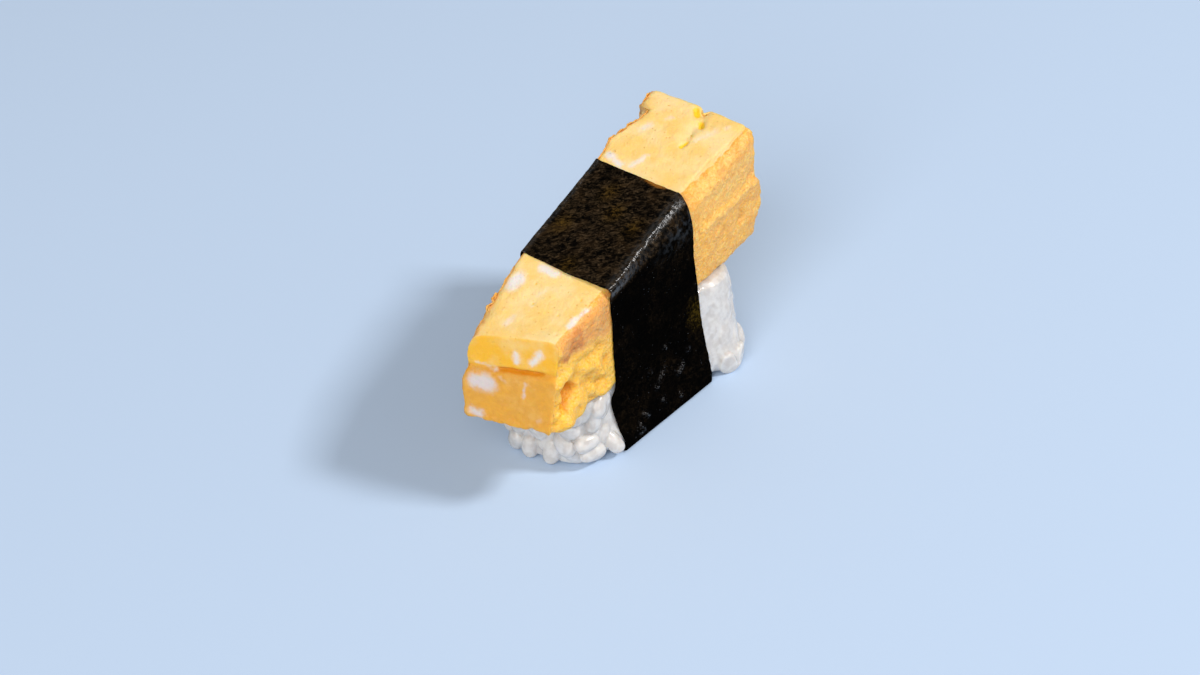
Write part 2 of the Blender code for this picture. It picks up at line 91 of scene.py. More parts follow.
# How far the right side's layers stand out past the far end, or short of it, up its height
FAR_LAYER_Z = (24.5, 26.5, 30.5, 33.5, 36.5, 39.0, 42.0, 54.0)
FAR_LAYER_REACH = (-2.6, -1.7, -1.6, 0.8, 1.1, 0.3, -1.2, -1.0)
# How deep the far part's left top edge is torn away, along X
PEEL_X = (22.5, 24.5, 27.2, 29.0, 31.1, 34.8, 36.1)
PEEL_DEPTH = (0.0, 0.8, 2.0, 1.9, 2.9, 3.4, 0.3)
PEEL_Z = (42.0, 48.5)  # where the tear starts, and where it is full
SQUEEZE = 0.5  # of the right top edge by the strip's far edge
SQUEEZE_START_X = (-4.0, 12.0)
SQUEEZE_END_X = (26.0, 18.0)
SQUEEZE_Z = (36.0, 46.0)
END_RADIUS = 0.5  # of the edges round both ends
CRUMB_SIZE = 3.6

STRIP_NEAR_X = -15.4
STRIP_NEAR_SKEW = 0.085  # the strip's near edge lies further in on the left
STRIP_FAR_X = 15.4
STRIP_FAR_SKEW = 0.065  # its far edge lies further out on the left
STRIP_FAR_CORNER = 1.0  # further in beyond the right shoulder, between the two places below
STRIP_FAR_CORNER_Y = (-7.0, -12.5)
STRIP_FAR_SPREAD = 0.9  # and further out down on the surface that the nigiri stands on
NORI_THICKNESS = 0.3
NORI_GAP = 0.1
# How far in and how far down the strip's shoulders curve, at its near edge and its far edge
SHOULDER_IN = {1: (1.2, 1.2), -1: (0.9, 3.6)}
SHOULDER_DOWN = {1: (1.2, 1.2), -1: (1.0, 6.0)}
FOOT_RADIUS = 0.9
TUCK = 6.5  # length of each end folded in under the rice
# How far a side of the strip stands out from the omelette's side, at its near edge and its far edge
OUTSETS = {
    -1: ((2.1, 1.2, -0.6, -1.7, 0.0, 0.0, 0.0), (3.7, 3.4, 3.0, 2.0, 1.3, 0.7, 0.1)),
    1: ((1.4, 0.9, 0.0, -0.9, 0.0, 0.0, 0.0), (2.0, 1.8, 1.4, 0.8, 0.4, 0.1, 0.1)),
}
OUTSET_Z = (0.0, 4.0, 7.0, 13.0, 18.0, 26.0, 36.0)  # over the surface that the nigiri stands on
OUTSET_EASE = 1.5

RICE_NEAR_X = -27.2
RICE_NEAR_SKEW = -1.4
RICE_FAR_X = 29.0
RICE_SKEW_START_X = -8.0
RICE_PLAN_RADII = {(-1, -1): 6.5, (-1, 1): 7.5, (1, -1): 6.5, (1, 1): 7.5}  # (end, side)
RICE_HALF_Y = 12.5  # of the straight block that is bent to the core's form
RICE_HALF_Z = 9.0
RICE_GAP = 0.15  # under the omelette
RICE_INSET = 1.0  # bare core inside the strip's line
RICE_EDGE_INSET = 0.8  # and more toward its top and bottom edges
RICE_SPREAD = 1.3  # the rice beyond the strip's far edge swells out again
RICE_FAR_FOOT = 1.6  # and most at the bottom of its right side
RICE_FAR_PART_X = (16.5, 20.0)  # where that starts, and where it is full
RICE_NEAR_TAPER = 2.0  # the right side draws in at the bottom before the strip's near edge
RICE_NEAR_PART_X = (-15.0, -20.0)
RICE_BOTTOM_Z = (8.0, 1.0)  # where what the rice does at its bottom starts, and where it is full
CORE_BOTTOM_Z = 0.9
SEED = 23

# --- Numbers and meshes ---


def eased(low, high, value):
    """0 at low, 1 at high and eased between them, also where low is the larger."""
    t = np.clip((value - low) / (high - low), 0.0, 1.0)
    return t * t * (3.0 - 2.0 * t)


def mix(a, b, share):
    return a + (b - a) * share


def soft_interp(x, places, values, ease):
    """np.interp with its bends eased over this distance to each side."""
    shifts = np.linspace(-ease, ease, 7)
    return np.mean([np.interp(x + step, places, values) for step in shifts], axis=0)


def along(x, values):
    """A station value at x."""
    return soft_interp(x, STATION_X, values, STATION_EASE)


def stops_between(low, high, spacing):
    return list(np.linspace(low, high, max(2, round((high - low) / spacing) + 1)))


def gridded_box(stops):
    """A box whose edges along X, Y and Z are cut at these stops, as a bmesh of quads."""
    bm = bmesh.new()
    bmesh.ops.create_cube(bm, size=2.0)
    for axis, places in enumerate(stops):
        full = [e for e in bm.edges if abs((e.verts[1].co - e.verts[0].co)[axis]) > 1.9]
        bmesh.ops.subdivide_edges(bm, edges=full, cuts=len(places) - 2, use_grid_fill=True)
    for vert in bm.verts:
        shares = [(vert.co[axis] + 1.0) / 2.0 for axis in range(3)]
        vert.co = [places[round(share * (len(places) - 1))] for share, places in zip(shares, stops)]
    return bm


def positions(bm):
    return np.array([vert.co for vert in bm.verts])


def place(bm, points):
    for vert, point in zip(bm.verts, points):
        vert.co = point


def normals_of(bm):
    bm.normal_update()
    return np.array([vert.normal for vert in bm.verts])


def fractal(points, size, octaves=3, offset=0.0):
    """Fractal noise of this feature size (mm) at the points, about -1 to 1."""
    start = Vector((offset, 0.0, 0.0))
    return np.array([noise.fractal(Vector(p) + start, 0.8, 2.2, octaves) for p in points / size])


def lumps(points, size, offset=0.0):
    """Rounded lumps of this size (mm), from about -0.3 in the creases between them to 0.35 on top."""
    nearest = [noise.voronoi(Vector(p))[0][0] for p in (points + offset) / size]
    return 0.35 - np.array(nearest) ** 2


def bump(points, centre, radii):
    """1 at the centre, falling off over the radii along X, Y and Z."""
    away = (points - np.array(centre)) / np.array(radii)
    return np.exp(-np.sum(away * away, axis=1))


def most(shares):
    """The largest of these arrays of shares at each point."""
    return np.max(list(shares), axis=0)


def streak(points, start, end, width):
    """1 on the line from start to end, falling off over the width."""
    a, b = np.array(start, float), np.array(end, float)
    run = b - a
    share = np.clip((points - a) @ run / max(run @ run, 1e-9), 0.0, 1.0)
    away = points - a - share[:, None] * run
    return np.exp(-np.sum(away * away, axis=1) / width**2)


def groove(distance, width):
    return np.exp(-((distance / width) ** 2))


def round_corner(a, b, corner_a, corner_b):
    """Rounds the corner of a section that lies beyond (corner_a, corner_b), the arc's centre."""
    side_a = np.sign(corner_a)
    side_b = np.sign(corner_b)
    out_a = (a - corner_a) * side_a
    out_b = (b - corner_b) * side_b
    inside = (out_a > 0.0) & (out_b > 0.0)
    reach = np.maximum(out_a, out_b)
    shrink = np.where(inside, reach / np.maximum(np.hypot(out_a, out_b), 1e-9), 1.0)
    a = np.where(inside, corner_a + side_a * out_a * shrink, a)
    return a, np.where(inside, corner_b + side_b * out_b * shrink, b)


def mesh_of(bm, name):
    """A mesh made of the bmesh, which it frees."""
    mesh = bpy.data.meshes.new(name)
    bm.to_mesh(mesh)
    bm.free()
    return mesh


def add_object(name, data):
    made = bpy.data.objects.new(name, data)
    bpy.context.scene.collection.objects.link(made)
    return made


def finish_piece(name, bm, material, marks=None, margin=0.02):
    """A smooth-shaded piece made of the bmesh, kept this far inside the CAD's box, with its marks."""
    low, high = (np.array((corner - shift) / MM) for corner in cad_box)
    low += (margin, margin, 0.0)
    place(bm, np.clip(positions(bm), low, high - margin))
    mesh = mesh_of(bm, name)
    mesh.transform(Matrix.Translation(shift) @ Matrix.Scale(MM, 4))
    mesh.materials.append(material)
    mesh.shade_smooth()
    for mark, values in (marks or {}).items():
        attribute = mesh.attributes.new(mark, "FLOAT", "POINT")
        attribute.data.foreach_set("value", np.clip(values, 0.0, 1.0).astype(np.float32))
    piece = add_object(name, mesh)
    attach(piece, "root")
    return piece


def sheet_normals(grid):
    """Unit normals of a grid of points, all on the same side of it."""
    normals = np.cross(np.gradient(grid, axis=0), np.gradient(grid, axis=1))
    return normals / np.maximum(np.linalg.norm(normals, axis=2, keepdims=True), 1e-9)


def add_sheet(bm, points, rows):
    """Adds a sheet of quads through the points, which come column by column with this many rows each."""
    verts = [bm.verts.new(point) for point in points]
    for column in range(len(points) // rows - 1):
        for row in range(rows - 1):
            a = column * rows + row
            bm.faces.new((verts[a], verts[a + 1], verts[a + rows + 1], verts[a + rows]))


def thicken(piece, thickness):
    """Gives a sheet this thickness (mm), half of it to each side."""
    solidify = piece.modifiers.new("thickness", "SOLIDIFY")
    solidify.thickness = thickness * MM
    solidify.offset = 0.0


# --- Shader nodes ---


class Shader:
    """A material's node tree with short ways to add the nodes used here."""

    def __init__(self, name):
        self.material = bpy.data.materials.new(name)
        self.material.use_nodes = True
        self.tree = self.material.node_tree
        self.principled = self.tree.nodes["Principled BSDF"]
        self.place = self.add("ShaderNodeTexCoord", {}).outputs["Object"]

    def add(self, kind, inputs, **settings):
        node = self.tree.nodes.new(kind)
        for key, value in settings.items():
            setattr(node, key, value)
        for key, value in inputs.items():
            self.feed(node.inputs[key], value)
        return node

    def feed(self, socket, value):
        """Links another node's output to the socket, or sets a fixed value on it."""
        if isinstance(value, bpy.types.NodeSocket):
            self.tree.links.new(value, socket)
        else:
            socket.default_value = value

    def stretched(self, turn, stretch):
        """Coordinates turned about Z (degrees), in which features are stretched along X, Y and Z."""
        sizes = [1.0 / value for value in stretch]
        rotation = (0.0, 0.0, math.radians(turn))
        turned = self.add("ShaderNodeMapping", {"Vector": self.place, "Rotation": rotation})
        return self.add("ShaderNodeMapping", {"Vector": turned.outputs[0], "Scale": sizes}).outputs[0]

    def noise(self, size, detail=3.0, roughness=0.5, distortion=0.0, place=None):
        inputs = {"Vector": place or self.place, "Scale": 1.0 / (size * MM), "Detail": detail}
        inputs |= {"Roughness": roughness, "Distortion": distortion}
        return self.add("ShaderNodeTexNoise", inputs).outputs[0]

    def voronoi(self, size, feature="F1"):
        inputs = {"Vector": self.place, "Scale": 1.0 / (size * MM)}
        return self.add("ShaderNodeTexVoronoi", inputs, feature=feature)

    def mark(self, name):
        return self.add("ShaderNodeAttribute", {}, attribute_name=name).outputs["Fac"]

    def span(self, value, low, high, start=0.0, end=1.0):
        """value from low to high mapped smoothly to start to end."""
        inputs = {"Value": value, "From Min": low, "From Max": high, "To Min": start, "To Max": end}
        return self.add("ShaderNodeMapRange", inputs, interpolation_type="SMOOTHSTEP").outputs[0]

    def math(self, operation, a, b):
        return self.add("ShaderNodeMath", {0: a, 1: b}, operation=operation).outputs[0]

    def plus(self, a, b):
        return self.math("ADD", a, b)

    def times(self, a, b):
        return self.math("MULTIPLY", a, b)

    def blend(self, a, b, share):
        """Colour a where share is 0, colour b where it is 1."""
        inputs = {0: share, 6: a if isinstance(a, bpy.types.NodeSocket) else (*a, 1.0)}
        inputs[7] = b if isinstance(b, bpy.types.NodeSocket) else (*b, 1.0)
        return self.add("ShaderNodeMix", inputs, data_type="RGBA").outputs[2]

    def ragged(self, mark, rough, low=0.35, high=0.65, amount=0.5):
        """The mark with its border broken up by the rough noise."""
        shaken = self.plus(mark, self.times(self.math("SUBTRACT", rough, 0.5), amount))
        return self.span(shaken, low, high)

    def bump(self, height, depth, below=None):
        """A bump of this depth (mm) over the one below it."""
        inputs = {"Height": height, "Distance": depth * MM, "Strength": 1.0}
        if below is not None:
            inputs["Normal"] = below
        return self.add("ShaderNodeBump", inputs).outputs[0]

    def set(self, **values):
        for key, value in values.items():
            self.feed(self.principled.inputs[key.replace("_", " ")], value)


# --- Omelette ---

C_CUT = (0.96, 0.62, 0.19)
C_CUT_PALE = (0.97, 0.70, 0.32)
# painted warm shade: the cut end's deeper orange, over the same cut egg as the top
C_END_WARM_SHADE = (0.99, 0.50, 0.025)
# the cut end's lower layer: a deeper yellow, darkened further as painted shade
C_END_LOW_DEEPER_AND_SHADED = (0.75, 0.345, 0.042)
C_PORE = (0.90, 0.46, 0.05)
C_SKIN = (0.93, 0.47, 0.070)
C_SKIN_PALE = (0.96, 0.61, 0.19)
C_TOAST = (0.80, 0.33, 0.045)
C_CRUMB = (0.97, 0.51, 0.050)
C_WHITE = (0.84, 0.77, 0.71)
# white patches on the cut end's lower layer, darkened as painted shade
C_WHITE_IN_SHADE = (0.72, 0.63, 0.60)
C_BROWN = (0.84, 0.38, 0.085)
C_DARK_BROWN = (0.66, 0.24, 0.050)
# painted shade in hollows and creases
C_HOLLOW_SHADE = (0.76, 0.28, 0.006)
C_BRIGHT = (0.96, 0.58, 0.02)

# Patches of egg white that the cuts show: start, end, width, strength
WHITE_PATCHES = (
    # near part's top
    ((-22.6, 9.9, 42.2), (-20.8, 9.3, 42.6), 2.0, 1.15),
    ((-16.5, 2.4, 43.5), (-16.3, 6.2, 43.5), 1.1, 0.95),
    ((-21.6, -9.4, 42.1), (-26.8, -8.4, 40.8), 1.0, 1.05),
    ((-31.2, 4.9, 39.5), (-29.6, 4.4, 39.9), 1.2, 0.6),
    ((-25.3, 2.7, 41.2), (-25.0, 2.7, 41.3), 0.8, 0.6),
    ((-22.4, 2.6, 41.9), (-20.4, 2.2, 42.4), 0.9, 0.4),
    # cut end
    ((-35.0, 0.0, 35.4), (-35.3, -0.1, 33.8), 1.1, 0.9),
    ((-34.0, -5.4, 36.6), (-34.4, -4.1, 34.6), 1.15, 0.95),
    ((-37.5, 8.6, 31.2), (-36.8, 4.6, 31.0), 0.8, 0.9),
    ((-38.6, 8.4, 27.4), (-37.9, 5.6, 27.5), 2.0, 1.15),
    ((-37.0, 2.6, 29.6), (-37.6, 0.9, 28.3), 0.7, 0.45),
    ((-36.4, -3.0, 29.6), (-36.7, -2.6, 26.6), 0.6, 0.75),
    ((-36.4, -3.0, 29.8), (-36.3, -4.9, 29.0), 0.55, 0.6),
    ((-40.4, 8.6, 20.4), (-39.8, 6.8, 20.2), 1.3, 1.0),
    ((-38.4, -7.6, 24.6), (-38.0, -6.6, 22.0), 1.2, 0.6),
    # far part's top
    ((17.2, 9.0, 49.7), (19.0, 13.4, 50.0), 1.1, 0.95),
    ((18.0, 6.8, 49.8), (21.9, 5.4, 50.7), 0.85, 0.8),
    ((28.9, 10.9, 52.3), (30.3, 10.2, 52.6), 1.3, 0.65),
    ((33.6, 7.3, 53.2), (34.3, 6.7, 53.4), 0.9, 0.5),
    ((30.4, -2.2, 52.5), (34.6, -5.0, 53.4), 1.2, 0.5),
    ((36.0, -6.7, 53.8), (36.6, -6.7, 53.9), 0.8, 0.55),
    # far end, which is finished like the cut end
    ((41.0, -6.0, 46.0), (41.0, -2.0, 47.0), 1.2, 0.9),
    ((41.5, 8.0, 34.0), (41.5, 11.5, 33.0), 1.5, 1.1),
)
# Open ends of the rolled layers, where a darker yellow shows: start, end, width
TOP_HOLES = (
    ((38.9, 3.2, 54.4), (37.6, 2.2, 54.1), 0.8),
    ((36.0, 0.1, 53.8), (34.6, -0.9, 53.5), 0.85),
    ((32.6, 0.2, 53.1), (31.2, -0.3, 52.8), 0.42),
    ((29.4, -0.5, 52.4), (27.6, -0.1, 51.9), 0.55),
)
# Toasted hollows in the far part's right side
SKIN_DIMPLES = (
    (36.5, -12.6, 43.3), (31.9, -12.9, 34.2), (22.9, -12.9, 37.0),
    (17.9, -11.6, 48.3), (26.4, -11.9, 49.6),
)
LARGE_PORES = (
    (-20.1, 5.1, 42.5), (-24.8, 2.5, 41.3), (-25.4, -4.5, 41.2),
    (-20.0, -6.6, 42.6), (-30.1, -7.4, 39.9),
)
# The lower edge of the browned upper half of the near part's right side
BROWN_LOW_X = (-33.0, -30.6, -27.0, -22.0, -17.0)
BROWN_LOW_Z = (36.5, 33.6, 34.0, 34.6, 33.0)
# Browned lines that run down from it: start, end
BROWN_STREAKS = (
    ((-26.7, -10.6, 39.0), (-27.0, -10.8, 36.0)),
    ((-27.0, -10.8, 36.0), (-30.2, -10.4, 34.4)),
)
# Lumps in that side's crumbly lower half, and a dent: height, centre, radii
CRUMB_FORMS = (
    (2.0, (-33.0, -11.0, 19.6), (3.4, 3.0, 2.6)),
    (1.2, (-18.6, -10.6, 19.6), (1.6, 2.5, 1.8)),
    (-2.2, (-30.6, -10.0, 26.4), (2.4, 4.0, 2.6)),
)
# (x, z) along the slanted hollow there
HOLLOW_TOP = (-28.8, 26.2)
HOLLOW_MIDDLE = (-32.0, 23.4)
HOLLOW_FOOT = (-35.6, 20.3)
HOLLOW_Y = -10.5
HOLLOW_SQUASH = 0.2  # of distances along Y from the hollow's line
# The line in the far part's top where its trimmed right edge starts
STEP_X = (16.0, 25.0, 37.0)
STEP_Y = (-8.0, -8.6, -9.9)
EGG_SPACING = 0.36  # of the cuts in the omelette's mesh
HIDDEN_SPACING = 1.6  # along X under the strip


def omelette_warp(points):
    """Bends a straight block to the omelette's tapered, tilted form."""
    x_ref, y_ref, z_ref = points.T
    x_mid = (CUT_END_X + FAR_END_X) / 2.0
    reach = (FAR_END_X - CUT_END_X) / 2.0 - END_RADIUS
    for (side, level), radii in EDGE_RADII.items():
        inner = along(x_ref, radii)
        y_ref, z_ref = round_corner(y_ref, z_ref, side * (HALF_Y - inner), level * (HALF_Z - inner))
    for end in (-1, 1):
        for side in (-1, 1):
            a, y_ref = round_corner(x_ref - x_mid, y_ref, end * reach, side * (HALF_Y - END_RADIUS))
            a, z_ref = round_corner(a, z_ref, end * reach, side * (HALF_Z - END_RADIUS))
            x_ref = x_mid + a
    v = y_ref / HALF_Y
    w = z_ref / HALF_Z
    cut_end = CUT_END_X + CUT_END_SKEW * v + CUT_END_SLANT * w
    far_end = FAR_END_X + FAR_END_SKEW * v
    near_edge, far_edge = STATION_X[2], STATION_X[3]
    near_share = np.clip((x_ref - near_edge) / (CUT_END_X - near_edge), 0.0, None)
    far_share = np.clip((x_ref - far_edge) / (FAR_END_X - far_edge), 0.0, None)
    x = np.clip(x_ref, near_edge, far_edge)
    x = x + near_share * (cut_end - near_edge) + far_share * (far_end - far_edge)
    y = mix(along(x, RIGHT_Y), along(x, LEFT_Y), (v + 1.0) / 2.0)
    top = along(x, TOP_Z) + along(x, TOP_ROLL) * v
    bottom = along(x, BOTTOM_Z) + along(x, BOTTOM_ROLL) * v
    z = mix(bottom, top, (w + 1.0) / 2.0)
    x = x + np.minimum(far_share, 1.0) * eased(0.1, -0.9, v) * np.interp(z, FAR_LAYER_Z, FAR_LAYER_REACH)
    y = y - np.interp(x, PEEL_X, PEEL_DEPTH) * eased(0.1, 1.0, v) * eased(*PEEL_Z, z)
    squeezed = eased(*SQUEEZE_START_X, x) * eased(*SQUEEZE_END_X, x) * eased(*SQUEEZE_Z, z)
    y = y + SQUEEZE * squeezed * eased(0.1, -0.9, v)
    return np.column_stack((x, y, z))


def zones(points, normals):
    """How far each point belongs to the omelette's faces and parts, and its distances from the seams."""
    x, y, z = points.T
    return SimpleNamespace(
        right=eased(-0.2, -0.8, normals[:, 1]),
        left=eased(0.2, 0.8, normals[:, 1]),
        top=eased(0.3, 0.8, normals[:, 2]),
        cut=eased(-0.3, -0.8, normals[:, 0]) * (x < -20.0),
        end=eased(0.3, 0.8, normals[:, 0]),
        near=eased(-16.6, -19.5, x),
        far=eased(16.6, 19.5, x),
        # the crumbly lower half of the near part's right side
        crumb=eased(36.0, 31.0, z + 0.45 * (x + 22.0)),
        seam=z - 39.8 - 0.06 * (x - 16.0) - 0.25 * np.sin(0.6 * x),
        crease=z - 31.4 + 0.12 * y,
    )


def omelette_relief(points, normals):
    """The solid's relief: how far each point moves out along its normal."""
    x, y, z = points.T
    at = zones(points, normals)
    out = at.far * at.right * 0.45 * groove(at.seam + 0.3, 1.1)
    out += at.far * at.right * 0.4 * eased(1.0, -1.5, at.seam) * eased(25.0, 33.0, z)
    out -= at.cut * 0.5 * groove(at.crease, 0.7)
    out += at.cut * 0.35 * eased(0.0, -1.6, at.crease)
    out += at.crumb * at.near * at.right * (1.8 * fractal(points, CRUMB_SIZE, 1) - 0.3)
    out += (at.near + at.far) * (0.2 + 0.25 * at.left) * fractal(points, CRUMB_SIZE)
    # the cut end's lower layer swells at its left edge
    out += at.cut * 0.6 * bump(points, (-39.0, 10.0, 25.5), (3.0, 4.0, 3.0))
    for height, centre, radii in CRUMB_FORMS:
        out += height * bump(points, centre, radii)
    out -= at.top * 0.5 * groove(y - 0.4 - 0.2 * np.sin(x), 1.2) * eased(27.0, 30.0, x)
    return out


def step_line(points):
    """Distance beyond the line in the far part's top where its trimmed right edge starts."""
    line = np.interp(points[:, 0], STEP_X, STEP_Y)
    return line - points[:, 1] - 0.25 * fractal(points, 4.0, 2, 11.0)


def crumb_hollow(points, start, end, width):
    """1 between two (x, z) low in the near part's right side, nearly however deep the surface lies there."""
    y = HOLLOW_Y * HOLLOW_SQUASH
    squashed = points * (1.0, HOLLOW_SQUASH, 1.0)
    return streak(squashed, (start[0], y, start[1]), (end[0], y, end[1]), width)


def omelette_detail(points, normals):
    """Relief too fine for the solid."""
    x, y, z = points.T
    at = zones(points, normals)
    shown = at.near + at.far
    cut_face = np.clip(at.cut + at.top + at.end, 0.0, 1.0)
    skin = shown * (1.0 - cut_face)
    rough = 0.07 * fractal(points, 2.2, 4) + 0.14 * lumps(points, 1.7) + 0.12 * lumps(points, 0.95, 5.0)
    out = skin * rough
    out += shown * cut_face * 0.05 * fractal(points, 1.2, 3, 3.0)
    crumb = at.crumb * at.near * at.right
    out += crumb * (0.3 * fractal(points, 2.4, 1, 9.0) + 0.12 * lumps(points, 1.3, 13.0))
    out -= crumb * 0.9 * crumb_hollow(points, HOLLOW_TOP, HOLLOW_FOOT, 1.0)
    browned = at.near * at.right * (1.0 - at.crumb)
    out += browned * 0.18 * lumps(points, 2.3, 25.0)
    # a bulge beside the strip
    out += browned * 0.7 * bump(points, (-18.2, -10.6, 39.5), (3.5, 3.0, 3.0))
    # ragged far end
    ragged = at.far * (at.end + 0.6 * at.right) * eased(36.0, 40.0, x)
    out += ragged * (0.9 * lumps(points, 3.0, 17.0) - 0.3)
    # the open seam's mouth in its top edge
    out -= 1.5 * bump(points, (39.6, 1.3, 54.6), (1.6, 0.8, 1.6))
    out += at.cut * eased(23.0, 19.5, z) * 0.7 * lumps(points, 1.8, 21.0)
    for centre in SKIN_DIMPLES:
        out -= 0.6 * bump(points, centre, (1.1, 2.0, 0.9))
    split = groove(at.crease - 0.12 * np.sin(1.3 * y), 0.35) * eased(6.0, 3.5, np.abs(y + 1.2))
    out -= at.cut * 0.7 * split
    for start, end, width in TOP_HOLES:
        out -= 0.9 * streak(points, start, end, width * 0.8)
    for centre in LARGE_PORES:
        out -= 0.35 * bump(points, centre, (0.35, 0.35, 2.0))
    trimmed = step_line(points)
    out -= at.far * at.top * (0.15 * eased(0.0, 0.45, trimmed) + 0.22 * groove(trimmed - 0.1, 0.3))
    return out


def omelette_marks(points, normals):
    """Where the surface takes on each of the looks that egg_material blends in, from 0 to 1."""
    x, y, z = points.T
    at = zones(points, normals)
    near = x < 0.0
    wander = fractal(points, 2.2, 3, 5.0)
    skin = np.maximum(eased(0.35, 0.75, np.abs(normals[:, 1])), eased(-0.4, -0.8, normals[:, 2]))
    skin = np.maximum(skin, eased(0.10, np.where(near, 0.65, 0.45), -normals[:, 1] + 0.12 * wander))
    shaken = points + 0.5 * np.column_stack([fractal(points, 2.2, 3, start) for start in (21.0, 22.0, 23.0)])
    shaken += 0.25 * np.column_stack([fractal(points, 0.8, 2, start) for start in (24.0, 25.0, 26.0)])
    white = most(strength * streak(shaken, *line) for *line, strength in WHITE_PATCHES)
    # browned upper half of the near part's right side
    top_line = along(x, TOP_Z) - along(x, TOP_ROLL)
    low_line = np.interp(x, BROWN_LOW_X, BROWN_LOW_Z)
    patch = eased(-0.9, 1.5, z - low_line + 0.9 * wander) * eased(0.0, 1.1, top_line - z + 0.3 * wander)
    patch *= eased(-33.5, -30.0, x + 0.8 * wander) * eased(-0.15, -0.5, normals[:, 1])
    brown_and_shade = near * 0.76 * patch
    for line in BROWN_STREAKS:
        brown_and_shade += near * 0.6 * streak(points, *line, 1.4) * eased(-0.3, -0.7, normals[:, 1])
    # browned left side
    left = eased(0.15, 0.6, normals[:, 1])
    brown_and_shade = np.maximum(brown_and_shade, left * (0.60 + 0.3 * wander))
    # toasted blotches on the far part's right side, a browner line in the step line's groove, and bands of
    # painted shade just below and above the seam
    shade_beside_seam = np.maximum(0.36 * groove(at.seam + 2.2, 0.8), 0.26 * groove(at.seam - 1.3, 0.6))
    blotches = [
        0.30 * np.clip(fractal(points, 4.0, 2, 28.0) + 0.3, 0.0, 1.0) * skin * at.far,
        0.35 * groove(step_line(points) - 0.1, 0.28) * at.far * at.top,
        shade_beside_seam * at.far * at.right,
    ]
    blotches += [0.55 * bump(points, centre, (1.9, 2.0, 1.4)) for centre in SKIN_DIMPLES]
    # this mark carries browned skin and, beside the seam, painted shade
    brown_and_shade = most([brown_and_shade, *blotches])
    # painted warm shade: the whole cut end is coloured a deeper orange than the top, which is the same cut
    # egg
    end_warm_shade = at.cut * (0.75 + 0.5 * fractal(points, 5.0, 2, 29.0))
    # the cut end's lower layer, under the crease, which takes a deeper colour and painted shade
    low = at.cut * eased(0.5, -0.5, at.crease)
    # paler skin above the seam, and a painted highlight along the seam's raised crest
    above_seam = eased(0.2, 2.5, at.seam + 0.6 * wander)
    paler_and_crest_highlight = at.far * at.right * np.maximum(above_seam, groove(at.seam + 0.3, 0.9))
    # hollows between the crumbs, darkened with painted shade by deep below
    crumb = near * at.right * at.crumb
    hollow = eased(0.0, -0.45, 0.3 * fractal(points, 2.4, 1, 9.0) + 0.7 * fractal(points, CRUMB_SIZE, 1))
    split = groove(at.crease + 0.1, 0.55) * eased(6.2, 4.6, np.abs(y + 1.25))
    # deep: painted shade in the hollows between the crumbs, along the cut end's crease and at its right end,
    # and in the slanted hollow's upper part
    deep = [
        0.45 * crumb * hollow,
        1.2 * at.cut * split,
        0.95 * crumb * crumb_hollow(points, HOLLOW_TOP, HOLLOW_MIDDLE, 1.7),
        0.6 * bump(points, (-34.8, -9.8, 32.2), (0.9, 1.2, 1.0)),  # the crease's right end
    ]
    bright = [
        0.8 * streak(points, (-35.6, -9.8, 31.5), (-37.2, -10.0, 23.2), 1.0),  # the cut end's right edge
        0.5 * crumb * crumb_hollow(points, HOLLOW_MIDDLE, HOLLOW_FOOT, 0.9),
        bump(points, (-26.2, -10.3, 17.5), (1.8, 3.0, 2.0)),  # over the rice
    ]
    bright += [1.25 * streak(points, *hole) for hole in TOP_HOLES]
    bright += [0.75 * bump(points, centre, (0.4, 0.4, 1.0)) for centre in LARGE_PORES]
    marks = {"skin": skin, "white": white, "brown_and_shade": brown_and_shade, "end_warm_shade": end_warm_shade, "low": low, "paler_and_crest_highlight": paler_and_crest_highlight}
    return marks | {"deep": most(deep), "bright": most(bright), "crumb": crumb}


def omelette_block():
    """The omelette's form as a bmesh in mm, and its normals before the relief."""
    near_edge, far_edge = STATION_X[2], STATION_X[3]
    lengths = stops_between(CUT_END_X, near_edge, EGG_SPACING)
    lengths += stops_between(near_edge, far_edge, HIDDEN_SPACING)[1:]
    lengths += stops_between(far_edge, FAR_END_X, EGG_SPACING)[1:]
    widths = stops_between(-HALF_Y, HALF_Y, EGG_SPACING)
    heights = stops_between(-HALF_Z, HALF_Z, EGG_SPACING)
    bm = gridded_box((lengths, widths, heights))
    place(bm, omelette_warp(positions(bm)))
    normals = normals_of(bm)
    points = positions(bm)
    place(bm, points + normals * omelette_relief(points, normals)[:, None])
    return bm, normals


